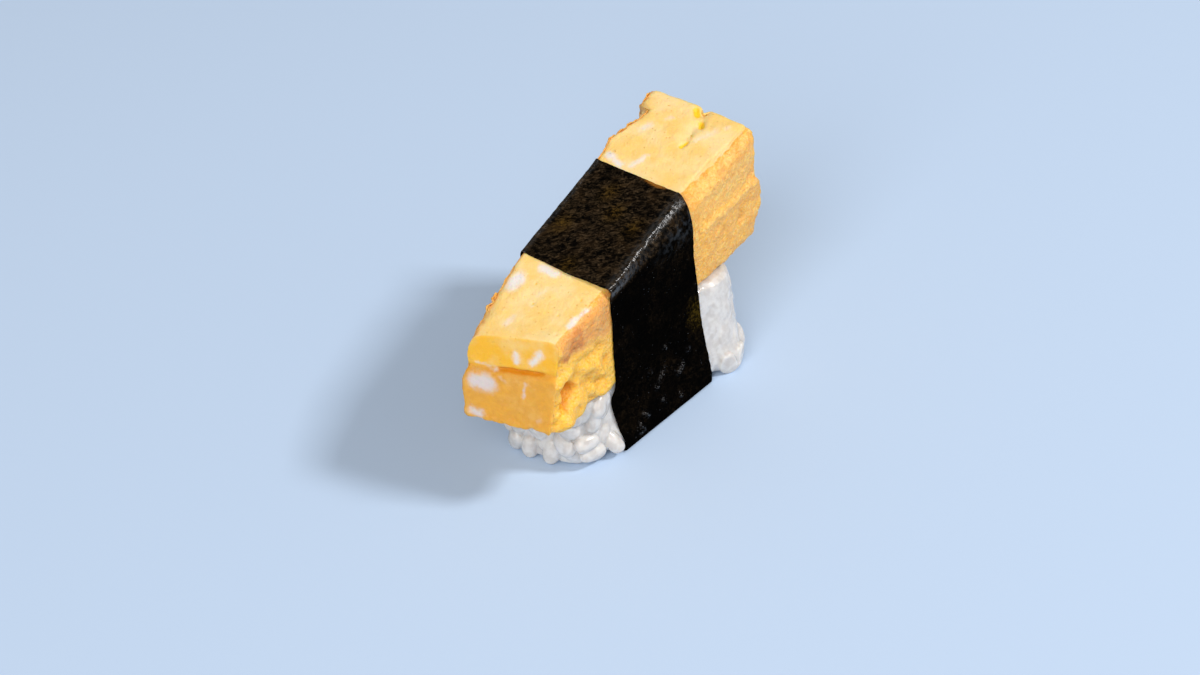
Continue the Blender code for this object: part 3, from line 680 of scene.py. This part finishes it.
def egg_material():
    m = Shader("egg")
    grain = m.noise(0.35, 3.0, 0.6)
    fine = m.noise(0.6, 4.0, 0.6)
    middle = m.noise(1.8, 4.0, 0.6)
    broad = m.noise(6.0, 2.0)
    skin_mark = m.mark("skin")
    brown_and_shade_mark = m.mark("brown_and_shade")
    # cut faces, with fine pores
    some = m.span(m.noise(4.0, 1.0), 0.42, 0.56)
    pore = m.times(m.span(m.voronoi(1.1).outputs["Distance"], 0.08, 0.17, 1.0, 0.0), some)
    cut = m.blend(C_CUT, C_CUT_PALE, m.span(broad, 0.35, 0.7))
    cut = m.blend(cut, C_CUT_PALE, m.times(m.span(fine, 0.5, 0.75), 0.5))
    # painted warm shade over the cut end
    cut = m.blend(cut, C_END_WARM_SHADE, m.ragged(m.mark("end_warm_shade"), middle, 0.0, 1.0, 0.5))
    # the lower layer's deeper colour and painted shade
    cut = m.blend(cut, C_END_LOW_DEEPER_AND_SHADED, m.times(m.mark("low"), m.span(middle, 0.3, 0.7, 0.60, 0.90)))
    cut = m.blend(cut, C_PORE, m.times(pore, 0.8))
    # cooked skin, toasted in blotches
    skin = m.blend(C_SKIN, C_SKIN_PALE, m.span(fine, 0.42, 0.66))
    toasted = m.span(m.plus(m.times(middle, 0.6), m.times(broad, 0.4)), 0.47, 0.66)
    # paler skin above the seam and a painted highlight on its crest
    skin = m.blend(skin, C_SKIN_PALE, m.times(m.mark("paler_and_crest_highlight"), 0.5))
    skin = m.blend(skin, C_TOAST, m.times(toasted, 0.6))
    between = m.span(m.voronoi(1.4).outputs["Distance"], 0.35, 0.75)
    skin = m.blend(skin, C_TOAST, m.times(between, 0.35))
    crumbs = m.blend(C_CRUMB, C_SKIN_PALE, m.times(m.span(fine, 0.42, 0.68), 0.75))
    skin = m.blend(skin, crumbs, m.mark("crumb"))
    colour = m.blend(cut, skin, m.ragged(skin_mark, middle))
    white = m.ragged(m.mark("white"), fine, 0.10, 1.05, 0.35)
    # white patches, darkened with painted shade on the cut end's lower layer
    colour = m.blend(colour, m.blend(C_WHITE, C_WHITE_IN_SHADE, m.mark("low")), white)
    dark = m.span(m.plus(brown_and_shade_mark, m.times(m.math("SUBTRACT", middle, 0.5), 0.8)), 0.65, 1.0)
    browned = m.blend(C_BROWN, C_DARK_BROWN, dark)
    browned = m.blend(browned, C_SKIN_PALE, m.times(m.span(middle, 0.46, 0.70), 0.55))
    # browned skin, and the painted shade beside the seam that the same mark carries
    colour = m.blend(colour, browned, m.ragged(brown_and_shade_mark, middle, 0.1, 0.7, 0.6))
    # painted shade in the hollows and the crease
    colour = m.blend(colour, C_HOLLOW_SHADE, m.ragged(m.mark("deep"), fine, 0.25, 0.9, 0.3))
    colour = m.blend(colour, C_BRIGHT, m.ragged(m.mark("bright"), fine, 0.25, 0.8, 0.3))
    bumps = m.bump(m.math("SUBTRACT", 1.0, pore), 0.14)
    bumps = m.bump(fine, 0.14, bumps)
    bubbles = m.voronoi(0.6, "SMOOTH_F1").outputs["Distance"]
    bumps = m.bump(m.times(m.plus(skin_mark, 0.2), bubbles), 0.26, bumps)
    bumps = m.bump(grain, 0.07, bumps)
    m.set(Base_Color=colour, Roughness=m.span(fine, 0.3, 0.7, 0.30, 0.46), Normal=bumps)
    m.set(Subsurface_Weight=0.35, Subsurface_Radius=(1.0, 0.45, 0.15), Subsurface_Scale=2.0 * MM)
    m.set(Specular_IOR_Level=0.35)
    return m.material


CRUST_THICKNESS = 0.25
CRUST_DEPTH = 3.0  # down from the top edge
CRUST_MARGIN = 0.16  # room for its thickness inside the CAD's box
# Torn edges of the browned left side's skin: from X, to X, how far over the top edge, how far it stands off
CRUST_STRETCHES = (
    (15.8, 25.5, 0.8, 0.35),
    (24.8, 35.4, 1.0, 0.55),
    (35.0, 40.0, 1.0, 0.5),
    (-36.0, -17.0, 0.6, 0.15),
    (-30.0, -24.5, 1.4, 0.9),
)


def add_crust(bm, start, end, over, lift):
    """Adds a ribbon over the omelette's left top edge, ragged and standing off along its torn end."""
    columns = stops_between(start, end, 0.25)
    rows = np.linspace(0.0, 1.0, 18)
    spots = np.column_stack((columns, np.zeros(len(columns)), np.zeros(len(columns))))
    ends = 1.0 - np.abs(np.linspace(-1.0, 1.0, len(columns))) ** 6
    reach = CRUST_DEPTH + over * (0.7 + 0.9 * fractal(spots, 1.5, 4, 40.0 + start)) * ends
    reach = mix(0.6 * CRUST_DEPTH, reach, ends)
    path = rows[None, :] * reach[:, None]
    x_ref = np.repeat(np.array(columns)[:, None], len(rows), axis=1)
    y_ref = HALF_Y - np.clip(path - CRUST_DEPTH, 0.0, None)
    z_ref = HALF_Z - np.clip(CRUST_DEPTH - path, 0.0, None)
    flat = omelette_warp(np.column_stack((x_ref.ravel(), y_ref.ravel(), z_ref.ravel())))
    normals = sheet_normals(flat.reshape(len(columns), len(rows), 3)).reshape(-1, 3)
    normals *= np.sign(normals[:, 1].mean())
    torn = np.tile(rows, len(columns)) ** 4 * np.repeat(ends, len(rows))
    away = omelette_relief(flat, normals) + 0.12 * fractal(flat, 1.2, 3, 44.0)
    away += torn * lift * (0.6 + 0.8 * fractal(flat, 1.8, 3, 46.0)) - 0.15 * (1.0 - torn)
    made = flat + normals * away[:, None]
    add_sheet(bm, made, len(rows))
    return made


def make_crust(material):
    bm = bmesh.new()
    points = np.vstack([add_crust(bm, *stretch) for stretch in CRUST_STRETCHES])
    bmesh.ops.recalc_face_normals(bm, faces=bm.faces)
    wander = fractal(points, 1.1, 3, 50.0)
    marks = {"skin": np.ones(len(points)), "brown_and_shade": 0.68 + 0.3 * wander, "white": 0.9 * wander - 0.2}
    crust = finish_piece("egg_crust", bm, material, marks, CRUST_MARGIN)
    thicken(crust, CRUST_THICKNESS)


def make_egg():
    bm, normals = omelette_block()
    points = positions(bm)
    marks = omelette_marks(points, normals)
    place(bm, points + normals * omelette_detail(points, normals)[:, None])
    material = egg_material()
    egg = finish_piece("egg_block", bm, material, marks)
    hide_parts("egg")
    make_crust(material)


# --- Nori ---


def strip_share(x):
    return np.clip((x - STRIP_NEAR_X) / (STRIP_FAR_X - STRIP_NEAR_X), 0.0, 1.0)


def strip_near_edge(y):
    """X of the strip's near edge."""
    return STRIP_NEAR_X + STRIP_NEAR_SKEW * np.clip(y, 0.0, None)


def strip_far_edge(y, z):
    """X of the strip's far edge."""
    corner = STRIP_FAR_CORNER * eased(*STRIP_FAR_CORNER_Y, y) - STRIP_FAR_SPREAD * eased(TOP_Z[3], 0.0, z)
    return STRIP_FAR_X + STRIP_FAR_SKEW * y - corner


def strip_side_y(x, z, side):
    """Y of the strip's middle surface on its right (side -1) or left (side 1), at x and height z."""
    near, far = (soft_interp(z, OUTSET_Z, outsets, OUTSET_EASE) for outsets in OUTSETS[side])
    egg_side = along(x, RIGHT_Y if side < 0 else LEFT_Y)
    return egg_side + side * (NORI_GAP + NORI_THICKNESS / 2.0 + mix(near, far, strip_share(x)))


def strip_path(x):
    """The strip's middle line across x as rows of (y, z), from its left end over the top to its right."""
    level = NORI_THICKNESS / 2.0
    top = along(x, TOP_Z) + NORI_GAP + level
    halves = []
    for side in (1, -1):
        inward = mix(*SHOULDER_IN[side], strip_share(x))
        down = mix(*SHOULDER_DOWN[side], strip_share(x))
        side_top = top - down
        foot = strip_side_y(x, FOOT_RADIUS, side)
        tuck = np.linspace(1.0, 0.0, 16, endpoint=False)
        half = [np.column_stack((foot - side * (FOOT_RADIUS + TUCK * tuck), np.full(len(tuck), level)))]
        turn = np.radians(np.linspace(0.0, 90.0, 6, endpoint=False))
        foot_y = foot + side * FOOT_RADIUS * (np.sin(turn) - 1.0)
        half.append(np.column_stack((foot_y, level + FOOT_RADIUS * (1.0 - np.cos(turn)))))
        z = np.linspace(level + FOOT_RADIUS, side_top, 110, endpoint=False)
        half.append(np.column_stack((strip_side_y(x, z, side), z)))
        turn = np.radians(np.linspace(0.0, 90.0, 17))
        shoulder_y = strip_side_y(x, side_top, side) + side * inward * (np.cos(turn) - 1.0)
        half.append(np.column_stack((shoulder_y, side_top + down * np.sin(turn))))
        halves.append(np.vstack(half))
    left, right = halves
    shares = np.linspace(0.0, 1.0, 72)[1:-1, None]
    return np.vstack((left, mix(left[-1], right[-1], shares), right[::-1]))


C_SHEET = (0.0020, 0.0016, 0.0012)
C_FIBRES = (0.062, 0.040, 0.021)
C_BLOTCHES = (0.052, 0.029, 0.012)
C_GOLDEN = (0.080, 0.043, 0.006)
# near black: dark mottles, and the painted shade of the strip's right side
C_BLACK_AND_SIDE_SHADE = (0.001, 0.001, 0.001)
C_THIN = (0.30, 0.115, 0.018)
C_OLIVE = (0.046, 0.029, 0.004)

# Where the top's fibres look golden
GOLDEN_SPOTS = (
    (-3.6, 10.0, 45.8), (-13.6, 1.6, 44.0), (4.0, 1.4, 47.2),
    (1.6, -5.0, 46.8), (9.0, 6.0, 47.8),
)
# Wet crinkles that glint on the right side: start, end
GLINTS = (
    ((-0.9, -11.9, 10.2), (0.6, -12.2, 12.4)), ((4.6, -13.0, 9.0), (6.4, -13.2, 10.2)),
    ((-3.6, -11.1, 13.5), (-3.5, -11.1, 13.8)), ((-2.4, -11.9, 9.0), (-2.2, -12.0, 9.2)),
    ((3.5, -14.2, 3.6), (3.7, -14.2, 3.8)), ((-1.5, -13.1, 5.4), (-1.2, -13.1, 5.6)),
    ((-7.8, -12.3, 5.4), (-7.0, -12.5, 4.6)), ((-9.9, -12.6, 3.8), (-9.4, -12.8, 2.4)),
    ((-10.9, -12.9, 3.0), (-10.6, -12.9, 2.4)), ((1.0, -12.2, 17.9), (1.1, -12.2, 18.2)),
    ((-11.6, -11.5, 12.0), (-11.5, -11.5, 12.4)), ((8.6, -13.4, 12.6), (8.8, -13.4, 13.0)),
)
RIDGE_Y = (-10.7, -8.5)  # of the crinkled ridge along the right shoulder, at the near and the far edge
NORI_COLUMNS = 110


def nori_material():
    m = Shader("nori")
    fibres = m.noise(0.75, 6.0, 0.7, 1.0, m.stretched(52.0, (1.7, 1.0, 1.2)))
    blotches = m.noise(2.4, 5.0, 0.65, 0.8, m.stretched(52.0, (1.3, 1.0, 1.0)))
    broad = m.noise(8.0, 2.0)
    fine = m.noise(0.45, 3.0, 0.6)
    colour = m.blend(C_SHEET, C_FIBRES, m.span(fibres, 0.44, 0.72))
    colour = m.blend(colour, C_BLOTCHES, m.times(m.span(blotches, 0.48, 0.72), 0.35))
    colour = m.blend(colour, C_GOLDEN, m.times(m.mark("golden"), m.span(fibres, 0.40, 0.66)))
    colour = m.blend(colour, C_BLACK_AND_SIDE_SHADE, m.times(m.span(blotches, 0.5, 0.36), 0.8))
    # painted shade: the strip's right side below the shoulder, darkened nearly to black
    colour = m.blend(colour, C_BLACK_AND_SIDE_SHADE, m.times(m.mark("side"), m.span(broad, 0.35, 0.65, 0.97, 0.82)))
    torn = m.plus(m.times(blotches, 0.5), m.times(fine, 0.5))
    colour = m.blend(colour, C_THIN, m.times(m.ragged(m.mark("thin"), torn, 0.35, 0.9, 1.6), 0.8))
    olive = m.times(m.ragged(m.mark("olive"), fibres, 0.30, 1.05, 2.6), m.span(fine, 0.40, 0.62))
    colour = m.blend(colour, C_OLIVE, olive)
    bumps = m.bump(m.noise(1.3, 5.0, 0.65), 0.26)
    bumps = m.bump(fibres, 0.08, bumps)
    wet = m.bump(m.times(m.mark("ridge"), m.noise(0.6, 3.0)), 0.10, m.bump(fine, 0.045))
    wet = m.bump(m.times(m.mark("glint"), m.noise(0.5, 2.0)), 0.6, wet)
    gloss = m.times(m.mark("ridge"), m.span(m.noise(0.8, 3.0), 0.34, 0.52))
    gloss = m.plus(gloss, m.times(m.mark("glint"), m.span(m.noise(0.6, 2.0), 0.46, 0.56)))
    gloss = m.plus(gloss, m.times(m.mark("sheen"), m.span(m.noise(1.6, 3.0), 0.42, 0.66, 0.0, 0.6)))
    gloss = m.plus(gloss, m.span(m.noise(0.5, 1.0), 0.74, 0.80, 0.0, 0.9))
    m.set(Base_Color=colour, Roughness=m.span(blotches, 0.35, 0.65, 0.28, 0.45), Normal=bumps)
    m.set(Coat_Weight=gloss, Coat_Roughness=0.25, Coat_Normal=wet)
    m.set(Specular_IOR_Level=0.0)
    return m.material


def strip_grid(shares):
    """The strip's middle surface as a grid of points, at these shares of its width and strip_path's rows."""
    points = np.empty((len(shares), len(strip_path(0.0)), 3))
    for column, share in enumerate(shares):
        straight = strip_path(mix(STRIP_NEAR_X, STRIP_FAR_X, share))
        x = mix(strip_near_edge(straight[:, 0]), strip_far_edge(*straight.T), share)
        lowest, highest = x.min(), x.max() + 1e-6
        between = ((x - lowest) / (highest - lowest))[:, None]
        points[column, :, 0] = x
        points[column, :, 1:] = mix(strip_path(lowest), strip_path(highest), between)
    return points


def strip_zones(points, share):
    """What the strip's relief and marks follow at each point."""
    x, y, z = points.T
    return SimpleNamespace(
        over_top=z - along(x, TOP_Z),
        from_ridge=y - mix(*RIDGE_Y, share),
        from_curl=y - along(x, LEFT_Y) + 0.5,
        glint=most(streak(points, *line, 0.5) for line in GLINTS),
    )


def strip_relief(points, share):
    """How far each point moves out along its normal: crinkles, a ridge along each shoulder and glints."""
    z = points[:, 2]
    at = strip_zones(points, share)
    on_top = eased(-2.0, -0.8, at.over_top)
    loose = eased(26.0, 14.0, z) * eased(0.2, 2.5, z)
    out = 0.05 * fractal(points, 1.4, 3, 2.0) + 0.06 * fractal(points, 4.0, 2, 4.0)
    out += loose * (0.22 * fractal(points, 5.5, 3, 6.0) + 0.08 * fractal(points, 1.8, 3, 8.0))
    out *= eased(0.0, 1.5, z)
    out += 0.8 * at.glint
    out += 0.32 * groove(at.from_curl, 0.42) * on_top
    ridge = (0.24 + 0.12 * share) * groove(at.from_ridge, 0.6)
    return out + ridge * on_top * (1.0 + 0.8 * fractal(points, 0.9, 2, 16.0))


def strip_marks(points, share):
    """Where the strip takes on each of the looks that nori_material blends in, from 0 to 1."""
    z = points[:, 2]
    right = points[:, 1] < 0.0
    at = strip_zones(points, share)
    over_top = at.over_top
    left_rim = groove(at.from_curl + 0.2, 0.5) * eased(-2.0, -0.8, over_top)
    sheen = groove(over_top + 3.5, 3.0) * eased(0.45, 0.95, share)
    return {
        "thin": eased(0.94, 1.0, share) * groove(points[:, 1] + 1.5, 4.0) * eased(46.0, 48.0, z),
        "olive": eased(0.72, 0.98, share) * groove(z - 20.5, 5.0) * right,
        "ridge": 1.3 * groove(at.from_ridge, 1.1) * eased(-2.5, -1.2, over_top) + left_rim,
        "golden": most(bump(points, spot, (2.6, 1.8, 2.0)) for spot in GOLDEN_SPOTS),
        "glint": at.glint,
        # painted shade on the right side below the shoulder
        "side": eased(-1.5, -3.5, over_top) * right,
        "sheen": sheen * right * (over_top < -0.6),
    }


def make_nori():
    shares = np.linspace(0.0, 1.0, NORI_COLUMNS)
    grid = strip_grid(shares)
    rows = grid.shape[1]
    normals = sheet_normals(grid)
    if normals[len(shares) // 2, rows // 2, 2] < 0.0:
        normals = -normals
    flat = grid.reshape(-1, 3)
    share = np.repeat(shares, rows)
    moved = flat + normals.reshape(-1, 3) * strip_relief(flat, share)[:, None]
    sway = 0.22 * fractal(flat, 7.0, 2, 12.0) + 0.10 * fractal(flat, 1.3, 2, 14.0)
    moved[:, 0] += sway * (np.abs(2.0 * share - 1.0) ** 3)
    moved[:, 2] = np.maximum(moved[:, 2], NORI_THICKNESS / 2.0)
    bm = bmesh.new()
    add_sheet(bm, moved, rows)
    bmesh.ops.recalc_face_normals(bm, faces=bm.faces)
    nori = finish_piece("nori_strip", bm, nori_material(), strip_marks(flat, share))
    thicken(nori, NORI_THICKNESS)
    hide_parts("nori")


# --- Rice ---

CAD_GAP = 0.3
GRAIN_RADII = (3.4, 2.1, 1.8)
GRAIN_REACH = 1.7  # from a grain's middle to the middles of its ends
# How far apart the middles and ends of neighbouring grains lie, and how far out the grains' middles lie
GRAIN_LAYERS = ((2.9, 0.1), (2.1, -0.3))
FILL_LAYERS = ((1.7, -0.5),)
NEAR_DEPTH_SHARE = 3.0  # the near part's deeper layers lie this many times as deep
FURTHEST_MOVE = 4.0  # that a grain may be moved to fit
FURTHEST_FILL_MOVE = 0.8
SITE_SPACING = 0.9  # of the places where a grain may lie
STRIP_CLEARANCE = 0.6  # grains are laid on faces this far from the strip's edges
STEEPEST_NORMAL_Z = 0.75  # and not on the core's top and bottom
BESIDE_STRIP = 3.6  # grains this close to its near edge stand upright
ANY_WAY = 90.0  # degrees that a grain may lean from upright
UPRIGHT_LEAN = 28.0
NEAR_END_LEAN = 40.0
PRESSED_DEPTH = 0.55  # beyond this the far side's grains are squeezed back
PRESSED_SHARE = 0.22  # to this share of what they stood out
PRESSED_NORMAL_Y = 0.6  # on its right and left side, not on its end
CORE_SPACING = 0.8  # of the core's mesh
# Pieces of the rice: name, from X, to X, size of the voxels that make its skin
RICE_PIECES = (
    ("rice_near", -40.0, -8.0, 0.18),
    ("rice_under_strip", -9.0, 9.0, 0.24),
    ("rice_far", 8.0, 40.0, 0.24),
)
C_GRAIN = (0.60, 0.565, 0.535)
C_GRAIN_PALE = (0.70, 0.675, 0.65)


def rice_warp(points):
    """Bends a block of half sizes 1 in Y and Z to the pressed rice's core under the omelette."""
    x_ref, v, w = points.T
    reach = (RICE_FAR_X - RICE_NEAR_X) / 2.0
    middle = (RICE_FAR_X + RICE_NEAR_X) / 2.0
    a, b = x_ref - middle, v * RICE_HALF_Y
    for (end, side), radius in RICE_PLAN_RADII.items():
        a, b = round_corner(a, b, end * (reach - radius), side * (RICE_HALF_Y - radius))
    v = b / RICE_HALF_Y
    x = middle + a + RICE_NEAR_SKEW * v * eased(RICE_SKEW_START_X, RICE_NEAR_X, x_ref)
    z = mix(CORE_BOTTOM_Z, along(x, BOTTOM_Z) - RICE_GAP, (w + 1.0) / 2.0)
    far_part = eased(*RICE_FAR_PART_X, x)
    near_part = eased(*RICE_NEAR_PART_X, x)
    inset = RICE_INSET + RICE_EDGE_INSET * np.abs(w) ** 6 - RICE_SPREAD * far_part
    drawn_in = (RICE_NEAR_TAPER * near_part - RICE_FAR_FOOT * far_part) * eased(*RICE_BOTTOM_Z, z)
    right = strip_side_y(x, z, -1.0) + inset + drawn_in
    left = strip_side_y(x, z, 1.0) - inset
    y = mix(right, left, (v + 1.0) / 2.0)
    return np.column_stack((x, y, z))


def core_mesh(spacing):
    """The core as a bmesh of faces about this size."""
    stops = (
        stops_between(RICE_NEAR_X, RICE_FAR_X, spacing),
        stops_between(-1.0, 1.0, spacing / RICE_HALF_Y),
        stops_between(-1.0, 1.0, spacing / RICE_HALF_Z),
    )
    bm = gridded_box(stops)
    place(bm, rice_warp(positions(bm)))
    bm.normal_update()
    return bm


def grain_direction(centre, normal, draw):
    """Along the surface: upright on the far part, near end and beside the strip, any way elsewhere."""
    lean = ANY_WAY
    if centre.x > STRIP_NEAR_X - BESIDE_STRIP:
        lean = UPRIGHT_LEAN
    elif normal.x < -0.7:
        lean = NEAR_END_LEAN
    tangent = normal.cross(Vector((0.0, 0.0, 1.0))).normalized()
    turn = Matrix.Rotation(math.radians(90.0 + draw.uniform(-lean, lean)), 3, normal)
    return (turn @ tangent + normal * draw.uniform(-0.25, 0.30)).normalized()


def grain_sites(draw, layers):
    """Middles, normals and directions of grains laid close over the core's bare ends and sides."""
    bm = core_mesh(SITE_SPACING)
    bare = []
    for face in bm.faces:
        centre = face.calc_center_median()
        before = STRIP_NEAR_X - STRIP_CLEARANCE
        beyond = strip_far_edge(*centre.yz) + STRIP_CLEARANCE
        if (centre.x < before or centre.x > beyond) and abs(face.normal.z) < STEEPEST_NORMAL_Z:
            bare.append((centre.copy(), face.normal.copy()))
    bm.free()
    sites = []
    taken = np.empty((0, 3))
    for spacing, depth in layers:
        draw.shuffle(bare)
        for centre, normal in bare:
            lengthwise = grain_direction(centre, normal, draw)
            ends = np.array([centre + lengthwise * step for step in (-GRAIN_REACH, 0.0, GRAIN_REACH)])
            gaps = np.linalg.norm(taken[:, None] - ends, axis=2)
            if not len(taken) or gaps.min() > spacing:
                near_deep = NEAR_DEPTH_SHARE if centre.x < 0.0 and depth < 0.0 else 1.0
                sites.append((centre + normal * depth * near_deep, normal, lengthwise))
                taken = np.vstack((taken, ends))
    return sites


def grain_matrix(middle, normal, lengthwise, draw):
    """Lays a ball of radius 1 as a grain."""
    sideways = normal.cross(lengthwise).normalized()
    outward = lengthwise.cross(sideways)
    axes = Matrix((lengthwise, sideways, outward)).transposed().to_4x4()
    sizes = [radius * draw.uniform(0.88, 1.08) for radius in GRAIN_RADII]
    return Matrix.Translation(middle) @ axes @ Matrix.Diagonal((*sizes, 1.0))


def pressed(points, middle, normal):
    """The grain's points squeezed back toward its middle."""
    over = np.clip((points - np.array(middle)) @ np.array(normal) - PRESSED_DEPTH, 0.0, None)
    return points - np.outer(over * (1.0 - PRESSED_SHARE), np.array(normal))


def grain_shape(ball, draw):
    """A plump grain of half sizes 1 from the ball's points: blunt ends, one fuller, and a slight bend."""
    t, side, up = ball.T
    round_section = np.sqrt(np.maximum(1.0 - t * t, 1e-9))
    blunt = (1.0 - np.abs(t) ** 2.5) ** 0.46
    scale = np.where(round_section > 1e-3, blunt / round_section, 1.0) * (1.0 + 0.10 * t)
    up = up * scale + draw.uniform(-0.10, 0.22) * (t * t - 0.4)
    side = side * scale + draw.uniform(-0.16, 0.16) * (t * t - 0.4)
    return np.column_stack((t, side, up))


def fitted_grain(points, furthest):
    """The grain's points moved clear of the strip, the omelette and the floor, or None if it is too far."""
    moved = points.copy()
    if moved[:, 0].mean() < 0.0:
        moved[:, 0] += min(0.0, STRIP_NEAR_X - CAD_GAP - moved[:, 0].max())
    else:
        moved[:, 0] += max(0.0, (strip_far_edge(*moved[:, 1:].T) + CAD_GAP - moved[:, 0]).max())
    moved[:, 2] += max(0.0, -moved[:, 2].min())
    room = along(moved[:, 0], BOTTOM_Z) - 1.2 * CAD_GAP - moved[:, 2]
    moved[:, 2] += min(0.0, room.min())
    fits = moved[:, 2].min() > -1e-6 and np.abs(moved - points).max() < furthest
    return moved if fits else None


def rice_material():
    m = Shader("rice")
    soft = m.noise(1.6, 3.0)
    colour = m.blend(C_GRAIN, C_GRAIN_PALE, m.span(soft, 0.35, 0.65))
    bumps = m.bump(m.noise(1.2, 2.0), 0.04)
    m.set(Base_Color=colour, Roughness=m.span(soft, 0.35, 0.65, 0.14, 0.26), Normal=bumps)
    m.set(Subsurface_Weight=0.8, Subsurface_Radius=(1.0, 0.85, 0.7), Subsurface_Scale=1.7 * MM)
    m.set(Specular_IOR_Level=0.5)
    return m.material


def laid_grains(ball):
    """Grains over the core's bare faces, each as its middle's X and the ball's points moved to its place."""
    draw = random.Random(SEED)
    ball_points = positions(ball)
    grains = []
    for layers, furthest in ((GRAIN_LAYERS, FURTHEST_MOVE), (FILL_LAYERS, FURTHEST_FILL_MOVE)):
        for middle, normal, lengthwise in grain_sites(draw, layers):
            matrix = np.array(grain_matrix(middle, normal, lengthwise, draw))
            laid = grain_shape(ball_points, draw) @ matrix[:3, :3].T + matrix[:3, 3]
            if middle.x > 0.0 and abs(normal.y) > PRESSED_NORMAL_Y:
                laid = pressed(laid, middle, normal)
            moved = fitted_grain(laid, furthest)
            if moved is not None:
                grains.append((middle.x, moved))
    return grains


def core_level(points, normals):
    """How far the core stands out between its grains, in lumps like grains where it was pressed."""
    x, z = points[:, 0], points[:, 2]
    pressed_side = (x > 0.0) & (np.abs(normals[:, 1]) > PRESSED_NORMAL_Y)
    beside = eased(-20.5, -17.0, x) * eased(0.0, -1.0, x)
    level = 0.2 * fractal(points, 2.6, 2) - 0.1
    level = mix(level, 0.62 + 0.4 * lumps(points * (1.0, 1.0, 0.5), 3.0), beside)
    level = np.where(pressed_side, 0.70 + 0.24 * lumps(points * (1.0, 1.0, 0.42), 3.0), level)
    return np.minimum(level, 0.95) * eased(0.9, 2.5, z) * eased(0.9, 0.5, np.abs(normals[:, 2]))


def voxel_skin(bm, voxel):
    """One closed, slightly softened skin round all that is in the bmesh, which it frees."""
    mesh = mesh_of(bm, "loose")
    loose = add_object("loose", mesh)
    remesh = loose.modifiers.new("skin", "REMESH")
    remesh.mode = "VOXEL"
    remesh.voxel_size = voxel
    loose.modifiers.new("soft", "SMOOTH").iterations = 1
    skin = bmesh.new()
    skin.from_mesh(loose.evaluated_get(bpy.context.evaluated_depsgraph_get()).to_mesh())
    bpy.data.objects.remove(loose)
    bpy.data.meshes.remove(mesh)
    return skin


def make_rice():
    material = rice_material()
    ball = bmesh.new()
    bmesh.ops.create_icosphere(ball, subdivisions=4, radius=1.0)
    grains = laid_grains(ball)
    for name, low, high, voxel in RICE_PIECES:
        bm = core_mesh(CORE_SPACING)
        normals = normals_of(bm)
        points = positions(bm)
        points += normals * core_level(points, normals)[:, None]
        points[:, 0] = np.clip(points[:, 0], low, high)
        place(bm, points)
        for middle_x, moved in grains:
            if low < middle_x < high:
                verts = [bm.verts.new(point) for point in moved]
                for face in ball.faces:
                    bm.faces.new([verts[vert.index] for vert in face.verts])
        piece = finish_piece(name, voxel_skin(bm, voxel), material)
        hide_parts("rice")
    ball.free()


# --- Floor, light and camera ---

PHOTO_WIDTH = 1200
FOCAL_PX = 2164.0
SENSOR_WIDTH = 36.0
CAMERA_DISTANCE = 470.0
CAMERA_AIM = (-10.5, -3.5, 25.0)
CAMERA_ELEVATION = math.radians(38.0)
CAMERA_BEARING = math.radians(38.0)
CAMERA_ROLL = math.radians(4.0)
C_FLOOR = (0.505, 0.628, 0.81)
C_SKY = (1.0, 0.97, 0.93)
SKY_STRENGTH = 0.30
# Lights: toward it, size (m), power (W)
KEY = ((0.38, -0.62, 0.69), 0.32, 25.0)
FILL = ((-0.76, -0.25, 0.60), 1.4, 29.0)
LIGHT_DISTANCE = 2.0  # m
LIGHT_AIM_Z = 0.03  # m


def make_camera():
    back_x = -math.cos(CAMERA_ELEVATION) * math.cos(CAMERA_BEARING)
    back_y = -math.cos(CAMERA_ELEVATION) * math.sin(CAMERA_BEARING)
    back = Vector((back_x, back_y, math.sin(CAMERA_ELEVATION)))
    level = (-back).cross(Vector((0.0, 0.0, 1.0))).normalized()
    upright = level.cross(-back)
    right = level * math.cos(CAMERA_ROLL) - upright * math.sin(CAMERA_ROLL)
    up = level * math.sin(CAMERA_ROLL) + upright * math.cos(CAMERA_ROLL)
    matrix = Matrix((right, up, back)).transposed().to_4x4()
    matrix.translation = (Vector(CAMERA_AIM) + back * CAMERA_DISTANCE) * MM + shift
    data = bpy.data.cameras.new("camera")
    data.sensor_width = SENSOR_WIDTH
    data.lens = FOCAL_PX / PHOTO_WIDTH * SENSOR_WIDTH
    data.clip_start = 0.01
    camera = add_object("camera", data)
    camera.matrix_world = matrix
    bpy.context.scene.camera = camera


def make_light(name, toward, size, power):
    """A square soft light that shines at the part from this direction."""
    data = bpy.data.lights.new(name, "AREA")
    data.size = size
    data.energy = power
    light = add_object(name, data)
    direction = Vector(toward).normalized()
    light.location = direction * LIGHT_DISTANCE + Vector((0.0, 0.0, LIGHT_AIM_Z))
    light.rotation_euler = direction.to_track_quat("Z", "Y").to_euler()


def make_stage():
    bm = bmesh.new()
    bmesh.ops.create_grid(bm, x_segments=1, y_segments=1, size=3.0)
    m = Shader("floor")
    m.set(Base_Color=(*C_FLOOR, 1.0), Roughness=0.7, Specular_IOR_Level=0.2)
    floor = add_object("floor", mesh_of(bm, "floor"))
    floor.data.materials.append(m.material)
    world = bpy.data.worlds.new("world")
    world.use_nodes = True
    background = world.node_tree.nodes["Background"]
    background.inputs["Color"].default_value = (*C_SKY, 1.0)
    background.inputs["Strength"].default_value = SKY_STRENGTH
    bpy.context.scene.world = world
    make_light("key", *KEY)
    make_light("fill", *FILL)
    bpy.context.scene.view_settings.view_transform = "Standard"


make_camera()
make_stage()
make_egg()
make_nori()
make_rice()
